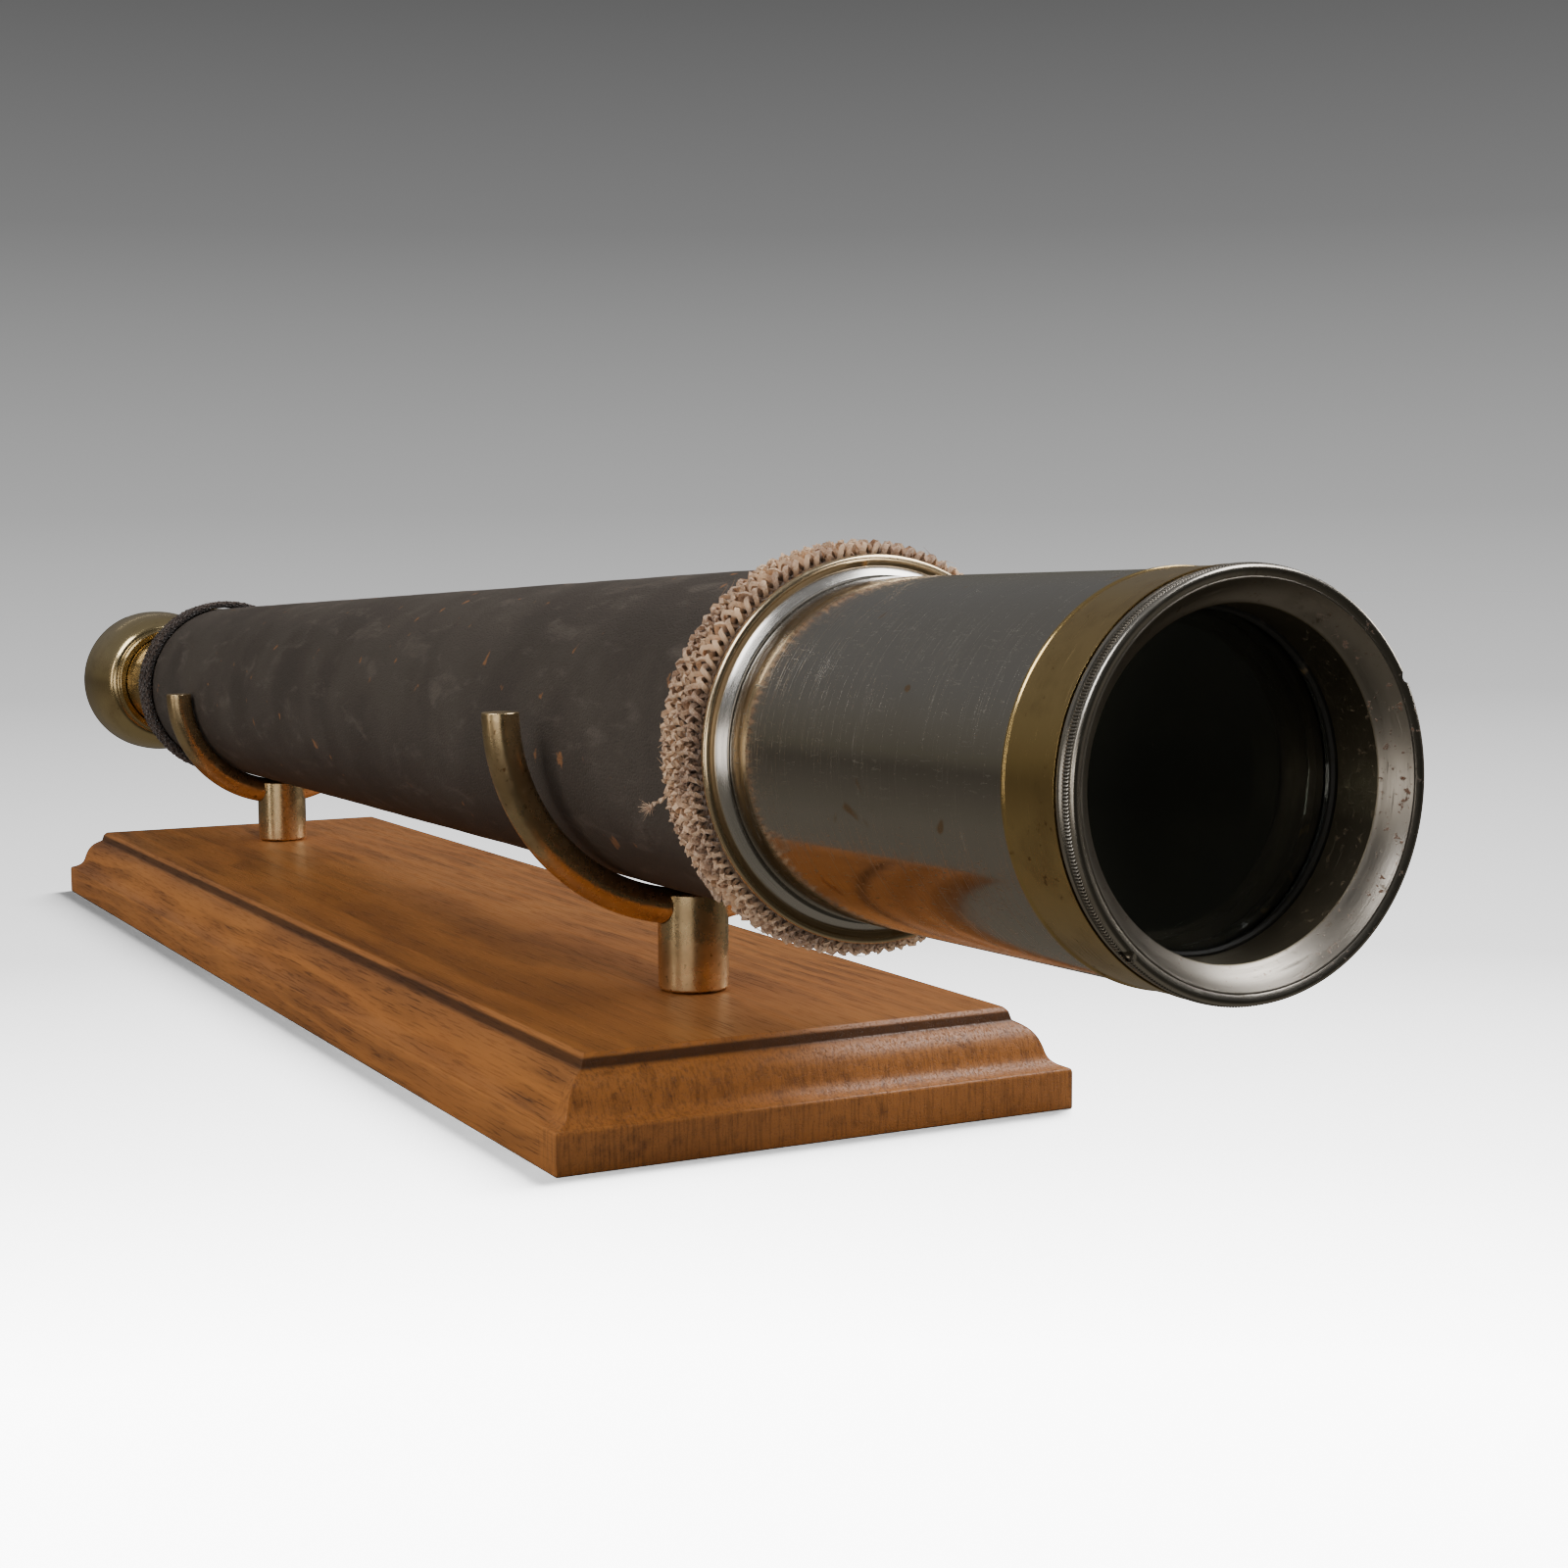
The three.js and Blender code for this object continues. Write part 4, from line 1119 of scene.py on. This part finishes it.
def knurled_ring():
    """The end ring: plain shoulder, groove, knurled bead, bright lip and hollow face down to its bore."""
    metal = bpy.context.scene.telescope_metal
    at = reach("end_ring")
    spigot = reach("shade_tube").inner - CLEARANCE
    wall = 1.4 * MM
    bevel = 4.2 * MM
    bead = 2.9 * MM
    shoulder = bead + 1.3 * MM
    face = at.front - bevel
    lip = at.outer - 1.2 * MM
    groove = at.outer - 0.95 * MM
    knurl_rear = at.front - bead + 0.35 * MM
    knurl_front = at.front - 1.15 * MM
    outline = [(at.rear, at.inner), (at.rear, at.inner + wall), (face - 3 * MM, at.inner + wall),
               (face - 3 * MM, spigot - wall), (at.rear, spigot - wall), (at.rear, spigot),
               (at.front - shoulder, spigot), (at.front - shoulder, at.outer - 0.35 * MM),
               (at.front - shoulder + 0.8 * MM, at.outer - 0.35 * MM),
               (at.front - bead - 0.1 * MM, groove), (at.front - bead + 0.1 * MM, groove),
               (knurl_rear, at.outer - 0.18 * MM), (knurl_rear + 0.25 * MM, at.outer),
               (knurl_front - 0.25 * MM, at.outer), (knurl_front, at.outer - 0.2 * MM)]
    outline += arc((at.front - 0.72 * MM, at.outer - 0.98 * MM), (0.72 * MM, 0.72 * MM), 112, -20, 7)
    outline += [(at.front - 0.30 * MM, lip - 0.65 * MM), (at.front - 0.42 * MM, lip - 0.80 * MM),
                (at.front - 0.34 * MM, lip - 0.98 * MM)]
    hollow_start = Vector((at.front - 0.40 * MM, lip - 1.15 * MM))
    hollow_end = Vector((face, at.inner + 0.25 * MM))
    for step in range(9):
        share = step / 8
        dip = Vector((-0.17, 0.19)) * MM * math.sin(math.pi * share)
        outline.append(tuple(hollow_start.lerp(hollow_end, share) + dip))
    outline += [(face - 0.3 * MM, at.inner)]
    ribs = metal.knurl_ribs
    shape = spun(outline, 2 * ribs)
    for vertex in shape.verts:
        radius = math.hypot(vertex.co.y, vertex.co.z)
        if knurl_rear - 0.01 * MM < vertex.co.x < knurl_front + 0.01 * MM and radius > at.outer - 0.3 * MM:
            rib = round(math.atan2(vertex.co.z, vertex.co.y) / (math.pi / ribs))
            if rib % 2:
                scale = 1 - metal.knurl_depth / radius
                vertex.co.y *= scale
                vertex.co.z *= scale
    ring = placed("knurled_ring", shape, TO_ROW, smooth=26)
    notches = []
    for degrees in (28, 226):
        where = (Matrix.Rotation(math.radians(degrees), 4, "X") @ Matrix.Translation((at.front, at.outer, 0))
                 @ Matrix.Rotation(math.pi / 2, 4, "Y"))
        notches.append(pin("notch", 1.2 * MM, 4 * MM, TO_ROW @ where, 32))
    carve(ring, notches)
    return settle(ring, "ray_shade", "nickel", "ring", "end_ring")


# ---- The draw tube, eye bell and shutter --------------------------------------------------------


def bell_outline(at, neck, socket_end, inner_tube):
    """The eye bell from its neck, over the swell to the rim, into the cup and back along its bore."""
    swell = at.outer
    flare_end = at.front - 25 * MM
    crown_end = flare_end - 5 * MM
    rim = swell - 4.9 * MM
    cup_floor = at.rear + 11 * MM
    eye_hole = 4 * MM
    plate = 3.2 * MM
    outline = [(at.front, neck - 2.2 * MM), (at.front, neck - 0.3 * MM), (at.front - 0.3 * MM, neck),
               (at.front - 2.4 * MM, neck), (at.front - 2.6 * MM, neck + 0.5 * MM),
               (at.front - 3.6 * MM, neck + 0.5 * MM), (at.front - 3.8 * MM, neck)]
    outline += arc((flare_end, neck), (20 * MM, swell - neck), 0, 90, 16)
    outline += arc((crown_end, rim), (crown_end - at.rear, swell - rim), 90, 180, 14)
    outline += [(at.rear + 0.1 * MM, rim - 0.9 * MM), (at.rear + 0.9 * MM, rim - 1.9 * MM)]
    outline += arc((at.rear + 1.5 * MM, 15 * MM), (cup_floor - at.rear - 1.5 * MM, rim - 18 * MM), 90, 20, 8)
    outline += [(cup_floor, 15 * MM), (cup_floor, eye_hole + 0.5 * MM), (cup_floor + 0.5 * MM, eye_hole),
                (cup_floor + plate, eye_hole), (cup_floor + plate, inner_tube), (socket_end, inner_tube),
                (socket_end, neck - 2.2 * MM)]
    return outline


def eye_bell():
    """The swelling brass end of the draw tube, drilled for the shutter's pivot."""
    at = reach("eye_bell")
    neck = reach("draw_tube").outer + 2.5 * MM
    socket_end = reach("draw_tube").rear - CLEARANCE
    inner_tube = reach("eyepiece_tube").outer + CLEARANCE
    shape = spun(bell_outline(at, neck, socket_end, inner_tube), 144)
    ease(shape, 0.12 * MM, 40, 1)
    bell = placed("eye_bell_turned", shape, TO_ROW)
    pivot_low, pivot_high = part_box("shutter_pivot")
    pivot = TO_SCOPE @ ((pivot_low + pivot_high) / 2)
    where = TO_ROW @ Matrix.Translation(pivot) @ Matrix.Rotation(math.pi / 2, 4, "Y")
    carve(bell, [pin("pivot_hole", PIVOT_HOLE, 5 * MM, where)])
    return settle(bell, "draw", "brass", "bell_brass", "eye_bell")


def shutter():
    """The thin plate over the eye hole, its finger knob and the screw that it swings on."""
    at = reach("dust_shutter")
    pivot_low, pivot_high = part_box("shutter_pivot")
    pivot = TO_SCOPE @ ((pivot_low + pivot_high) / 2)
    plate_low, plate_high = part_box("dust_shutter")
    radius = (plate_high.y - plate_low.y) / 2
    boss = 2.8 * MM
    thickness = 1.1 * MM
    fall = -pivot.z
    spread = math.pi - math.acos((radius - boss) / fall)
    shape = bmesh.new()
    outline = []
    for centre, size, start, end in ((0, radius, -spread, spread),
                                     (-fall, boss, spread, 2 * math.pi - spread)):
        for step in range(33):
            angle = start + (end - start) * step / 32
            corner = (at.front, size * math.sin(angle), centre + size * math.cos(angle))
            outline.append(shape.verts.new(corner))
    plate = shape.faces.new(outline)
    grown = bmesh.ops.extrude_face_region(shape, geom=[plate])["geom"]
    moved = [item for item in grown if isinstance(item, bmesh.types.BMVert)]
    bmesh.ops.translate(shape, vec=(-thickness, 0, 0), verts=moved)
    bmesh.ops.remove_doubles(shape, verts=shape.verts[:], dist=1e-6)
    bmesh.ops.recalc_face_normals(shape, faces=shape.faces[:])
    ease(shape, 0.16 * MM, 60, 2)
    plate = placed("shutter_plate", shape, TO_ROW)
    where = Matrix.Translation((at.front - thickness / 2, 0, pivot.z)) @ Matrix.Rotation(math.pi / 2, 4, "Y")
    carve(plate, [pin("hole", PIVOT_HOLE, 4 * MM, TO_ROW @ where)])
    knob_foot = at.front - thickness + 0.05 * MM
    height = knob_foot - at.rear
    knob = spun([(knob_foot, 0), (knob_foot, 0.8 * MM), (knob_foot - height * 0.45, 0.65 * MM),
                 (knob_foot - height * 0.6, 1.15 * MM), (knob_foot - height * 0.9, 1.15 * MM),
                 (at.rear, 0.7 * MM), (at.rear, 0)], 40, closed=False)
    knob_piece = placed("shutter_knob", knob, TO_ROW)
    settle(plate, "shutter", "brass", "bell_brass", "dust_shutter")
    settle(knob_piece, "shutter", "brass", "bell_brass")
    ends = reach("shutter_pivot")
    shank = 1.05 * MM
    neck = ends.rear + 1.1 * MM
    rim = 2.35 * MM
    head = spun([(ends.front, 0), (ends.front, shank), (neck, shank), (neck, rim),
                 (ends.rear + 0.35 * MM, rim), (ends.rear, 1.6 * MM), (ends.rear, 0)], 48, closed=False)
    screw = placed("pivot_screw", head, TO_ROW @ Matrix.Translation((0, pivot.y, pivot.z)))
    where = Matrix.Translation((ends.rear, 0, pivot.z)) @ Matrix.Rotation(math.radians(24), 4, "X")
    carve(screw, [block("slot", (0.9 * MM, 6 * MM, 0.5 * MM), TO_ROW @ where)])
    settle(screw, "draw", "steel", "steel", "shutter_pivot")


# ---- The stage ---------------------------------------------------------------------------------


MIDDLE = (0.05, 0, 0.06)
WHITE = (1, 1, 1)
# Each lamp's name, place, target, size, share of the power, tint, and whether metal mirrors it.
LAMPS = (
    ("key", (0.35, -0.95, 1.15), MIDDLE, (0.8, 0.7), 1.5, WHITE, True),
    ("top", (0.40, 0.85, 1.25), MIDDLE, (1.3, 0.7), 2.9, WHITE, True),
    ("front_fill", (1.6, 0.35, 0.75), MIDDLE, (0.6, 0.6), 0.12, WHITE, False),
    ("low_panel", (0.98, -0.90, 0.10), (0.35, 0, 0.08), (0.9, 0.34), 0.24, (1, 0.95, 0.88), True),
    ("right_panel", (0.02, 1.35, 0.42), MIDDLE, (0.8, 0.4), 0.75, (1, 0.96, 0.90), True),
    ("left_strip", (0.1, -1.35, 0.30), MIDDLE, (0.16, 0.8), 0.22, (1, 0.93, 0.82), True),
    ("far_window", (-2.4, 0.12, 1.12), MIDDLE, (1.1, 0.02), 0.02, (1, 0.92, 0.75), True),
)


def camera():
    """The camera stands at its place, and its settings turn it."""
    stage = bpy.context.scene.telescope_stage
    azimuth, elevation, roll = (math.radians(turn) for turn in (stage.azimuth, stage.elevation, stage.roll))
    back = Vector((math.sin(azimuth) * math.cos(elevation), -math.cos(azimuth) * math.cos(elevation),
                   math.sin(elevation)))
    level = Vector((math.cos(azimuth), math.sin(azimuth), 0))
    rise = back.cross(level)
    right = level * math.cos(roll) + rise * math.sin(roll)
    up = rise * math.cos(roll) - level * math.sin(roll)
    data = bpy.data.cameras.new("camera")
    data.lens = stage.lens
    data.sensor_width = 36
    data.clip_start = 0.01
    made = bpy.data.objects.new("camera", data)
    turned = Matrix((right, up, back)).transposed().to_4x4()
    made.matrix_world = Matrix.Translation(CAMERA_PLACE) @ turned
    bpy.context.scene.collection.objects.link(made)
    bpy.context.scene.camera = made


def floor():
    """A pale floor that only catches shadow and isn't mirrored."""
    shape = bmesh.new()
    bmesh.ops.create_grid(shape, x_segments=8, y_segments=8, size=4)
    ground = placed("floor", shape)
    paint = Paint("pale_floor", roughness=0.9, specular_ior_level=0.1)
    tone = paint.noise(paint.millimetres(), 0.004, 3)
    grey = paint.mix(tone, (0.80, 0.80, 0.80), (0.84, 0.84, 0.84))
    ground.data.materials.append(paint.surface(base_color=grey))
    ground.is_shadow_catcher = True
    ground.visible_glossy = False
    ground.visible_transmission = False
    return ground


def soft_light(name, place, target, size, power, tint=(1, 1, 1), mirrored=True):
    """A rectangular light aimed at a target; one that isn't mirrored leaves no highlight on metal."""
    data = bpy.data.lights.new(name, "AREA")
    data.shape = "RECTANGLE"
    data.size, data.size_y = size
    data.energy = power
    data.color = tint
    lamp = bpy.data.objects.new(name, data)
    away = Vector(place) - Vector(target)
    lamp.matrix_world = Matrix.Translation(place) @ away.to_track_quat("Z", "Y").to_matrix().to_4x4()
    lamp.visible_camera = False
    lamp.visible_glossy = mirrored
    bpy.context.scene.collection.objects.link(lamp)
    return lamp


def group_of(name, thing, state="INCLUDE"):
    """A collection for light linking that names one object."""
    group = bpy.data.collections.new(name)
    group.objects.link(thing)
    group.collection_objects[0].light_linking.link_state = state
    return group


def share_out(lamps, floor_lamp, ground, board):
    """The floor is lit by one lamp alone, and only the board shades it, so its shadow hugs the board."""
    spared = group_of("spared_floor", ground, "EXCLUDE")
    for lamp in lamps:
        lamp.light_linking.receiver_collection = spared
    floor_lamp.light_linking.receiver_collection = group_of("lit_floor", ground)
    floor_lamp.light_linking.blocker_collection = group_of("shading_board", board)


def studio_world():
    """A backdrop from near white at the bottom to grey at the top, and a dim room for reflections."""
    world = bpy.data.worlds.new("studio")
    bpy.context.scene.world = world
    world.use_nodes = True
    paint = Wiring(world.node_tree)
    direction = paint.add("ShaderNodeTexCoord", {}, {}, "Generated")
    height = paint.split(direction)[2]
    share = (height * 1.25 + 0.5).math("MINIMUM", 1)
    backdrop = paint.add("ShaderNodeValToRGB", {"stops": [
        (0.10, (1.0, 1.0, 1.0)), (0.20, (0.53, 0.53, 0.53)), (0.30, (0.205, 0.205, 0.205)),
        (0.43, (0.080, 0.080, 0.080)), (0.52, (0.047, 0.047, 0.047)), (0.66, (0.0215, 0.0215, 0.0215)),
        (0.78, (0.012, 0.012, 0.012))]}, {"Fac": share})
    room = paint.add("ShaderNodeValToRGB", {"stops": [
        (0.10, (0.13, 0.12, 0.10)), (0.46, (0.075, 0.068, 0.058)), (0.56, (0.115, 0.108, 0.088)),
        (0.80, (0.15, 0.145, 0.135)), (1.0, (0.16, 0.16, 0.16))]}, {"Fac": share})
    # The end of the room that the glass faces is dark, so the glass looks black.
    behind = paint.split(direction)[0].band(0.25, 0.75)
    room = paint.mix(behind * 0.85, room, (0.014, 0.014, 0.011))
    ray = paint.nodes.new("ShaderNodeLightPath")
    seen = Value(paint, ray.outputs["Is Camera Ray"])
    light = paint.mix(seen, room, backdrop)
    strength = 1 + seen * 9
    paint.feed(world.node_tree.nodes["Background"].inputs["Color"], light)
    paint.feed(world.node_tree.nodes["Background"].inputs["Strength"], strength)


# ---- Operators ---------------------------------------------------------------------------------


class TELESCOPE_OT_stage(Operator):
    """Sets the floor, the lights, the backdrop and the camera"""

    bl_idname = "telescope.stage"
    bl_label = "Stage"

    def execute(self, context):
        power = context.scene.telescope_stage.key_power
        camera()
        ground = floor()
        studio_world()
        lamps = [soft_light(name, place, target, size, power * share, tint, mirrored)
                 for name, place, target, size, share, tint, mirrored in LAMPS]
        floor_lamp = soft_light(
            "floor_lamp", (-0.55, 0.95, 1.10), (0, 0, 0), (0.8, 0.8), power * 4, mirrored=False)
        share_out(lamps, floor_lamp, ground, bpy.data.objects["oak_board"])
        # The polished shade mirrors the dark end of the room when it is seen from the rear.
        for side in (-1, 1):
            panel = soft_light(
                "shade_panel", (1.32, side * 0.93, 0.64), (0.3, 0, 0.09), (1.8, 1.5), power * 0.5)
            panel.light_linking.receiver_collection = group_of(
                "shade_only", bpy.data.objects["shade_barrel"])
        return {"FINISHED"}


class TELESCOPE_OT_board(Operator):
    """Makes the moulded oak board"""

    bl_idname = "telescope.board"
    bl_label = "Oak board"

    def execute(self, context):
        oak_board()
        return {"FINISHED"}


class TELESCOPE_OT_cradles(Operator):
    """Makes the two posts with their hoops and screws"""

    bl_idname = "telescope.cradles"
    bl_label = "Cradles"

    def execute(self, context):
        for side in ("front", "rear"):
            cradle(side)
            stand_screw(side)
        return {"FINISHED"}


class TELESCOPE_OT_barrel(Operator):
    """Makes the leather sleeve, the ferrules at its ends and the tubes inside them"""

    bl_idname = "telescope.barrel"
    bl_label = "Barrel"

    def execute(self, context):
        leather_sleeve()
        rimmed_ferrule()
        end_cap()
        plain_tube("draw_bush", "telescope", "brass", "brass")
        plain_tube("nose_tube", "telescope", "brass", "blacked_bore")
        repaint("barrel_tube", "blackened")
        return {"FINISHED"}


class TELESCOPE_OT_collars(Operator):
    """Plaits the two cord collars"""

    bl_idname = "telescope.collars"
    bl_label = "Cord collars"

    def execute(self, context):
        cover = context.scene.telescope_cover
        plaited_collar("front_cord_collar", "front_plait", 3, cover.cord_radius, "cord", "cord", cover.fuzz,
                       (frayed_end(), tucked_loop()))
        plaited_collar("rear_cord_collar", "rear_plait", 4, 0.62 * MM, "dark_cord", "dark_cord", 60)
        return {"FINISHED"}


class TELESCOPE_OT_objective(Operator):
    """Makes the front glass in its cell and finishes the pieces behind it"""

    bl_idname = "telescope.objective"
    bl_label = "Objective"

    def execute(self, context):
        objective()
        for node in ("lens_spacer", "objective_retainer", "front_baffle", "rear_baffle"):
            repaint(node, "blackened")
        repaint("flint_lens", "glass")
        return {"FINISHED"}


class TELESCOPE_OT_shade(Operator):
    """Makes the ray shade with its band, end ring and felt guide"""

    bl_idname = "telescope.shade"
    bl_label = "Ray shade"

    def execute(self, context):
        shade_barrel()
        band_piece()
        knurled_ring()
        plain_tube("shade_guide", "ray_shade", "felt", "felt")
        return {"FINISHED"}


class TELESCOPE_OT_draw(Operator):
    """Makes the draw tube, the eye bell and the dust shutter, and finishes what the tube holds"""

    bl_idname = "telescope.draw"
    bl_label = "Draw tube"

    def execute(self, context):
        plain_tube("draw_tube", "draw", "draw_brass", "draw_brass")
        plain_tube("draw_stop", "draw", "brass", "brass")
        eye_bell()
        shutter()
        for node in ("erector_tube", "eyepiece_tube"):
            repaint(node, "brass")
        for node in ("erector_front_lens", "erector_rear_lens", "field_lens", "eye_lens"):
            repaint(node, "glass")
        for node in ("erector_stop", "eye_lens_cell"):
            repaint(node, "blackened")
        return {"FINISHED"}


OPERATORS = (TELESCOPE_OT_board, TELESCOPE_OT_cradles, TELESCOPE_OT_barrel, TELESCOPE_OT_collars,
             TELESCOPE_OT_objective, TELESCOPE_OT_shade, TELESCOPE_OT_draw, TELESCOPE_OT_stage)


class TELESCOPE_PT_panel(Panel):
    """Lists the settings and the steps"""

    bl_idname = "TELESCOPE_PT_panel"
    bl_label = "Telescope"
    bl_space_type = "VIEW_3D"
    bl_region_type = "UI"
    bl_category = "Telescope"

    def draw(self, context):
        for name, group in SETTINGS.items():
            box = self.layout.box()
            for setting in group.__annotations__:
                box.prop(getattr(context.scene, name), setting)
        for operator in OPERATORS:
            self.layout.operator(operator.bl_idname)


CLASSES = (*SETTINGS.values(), *OPERATORS, TELESCOPE_PT_panel)


def register():
    for item in CLASSES:
        bpy.utils.register_class(item)
    for name, group in SETTINGS.items():
        setattr(bpy.types.Scene, name, PointerProperty(type=group))


def unregister():
    for name in SETTINGS:
        delattr(bpy.types.Scene, name)
    for item in reversed(CLASSES):
        bpy.utils.unregister_class(item)


def main():
    register()
    for operator in OPERATORS:
        group, step = operator.bl_idname.split(".")
        getattr(getattr(bpy.ops, group), step)()


if __name__ == "__main__":
    main()
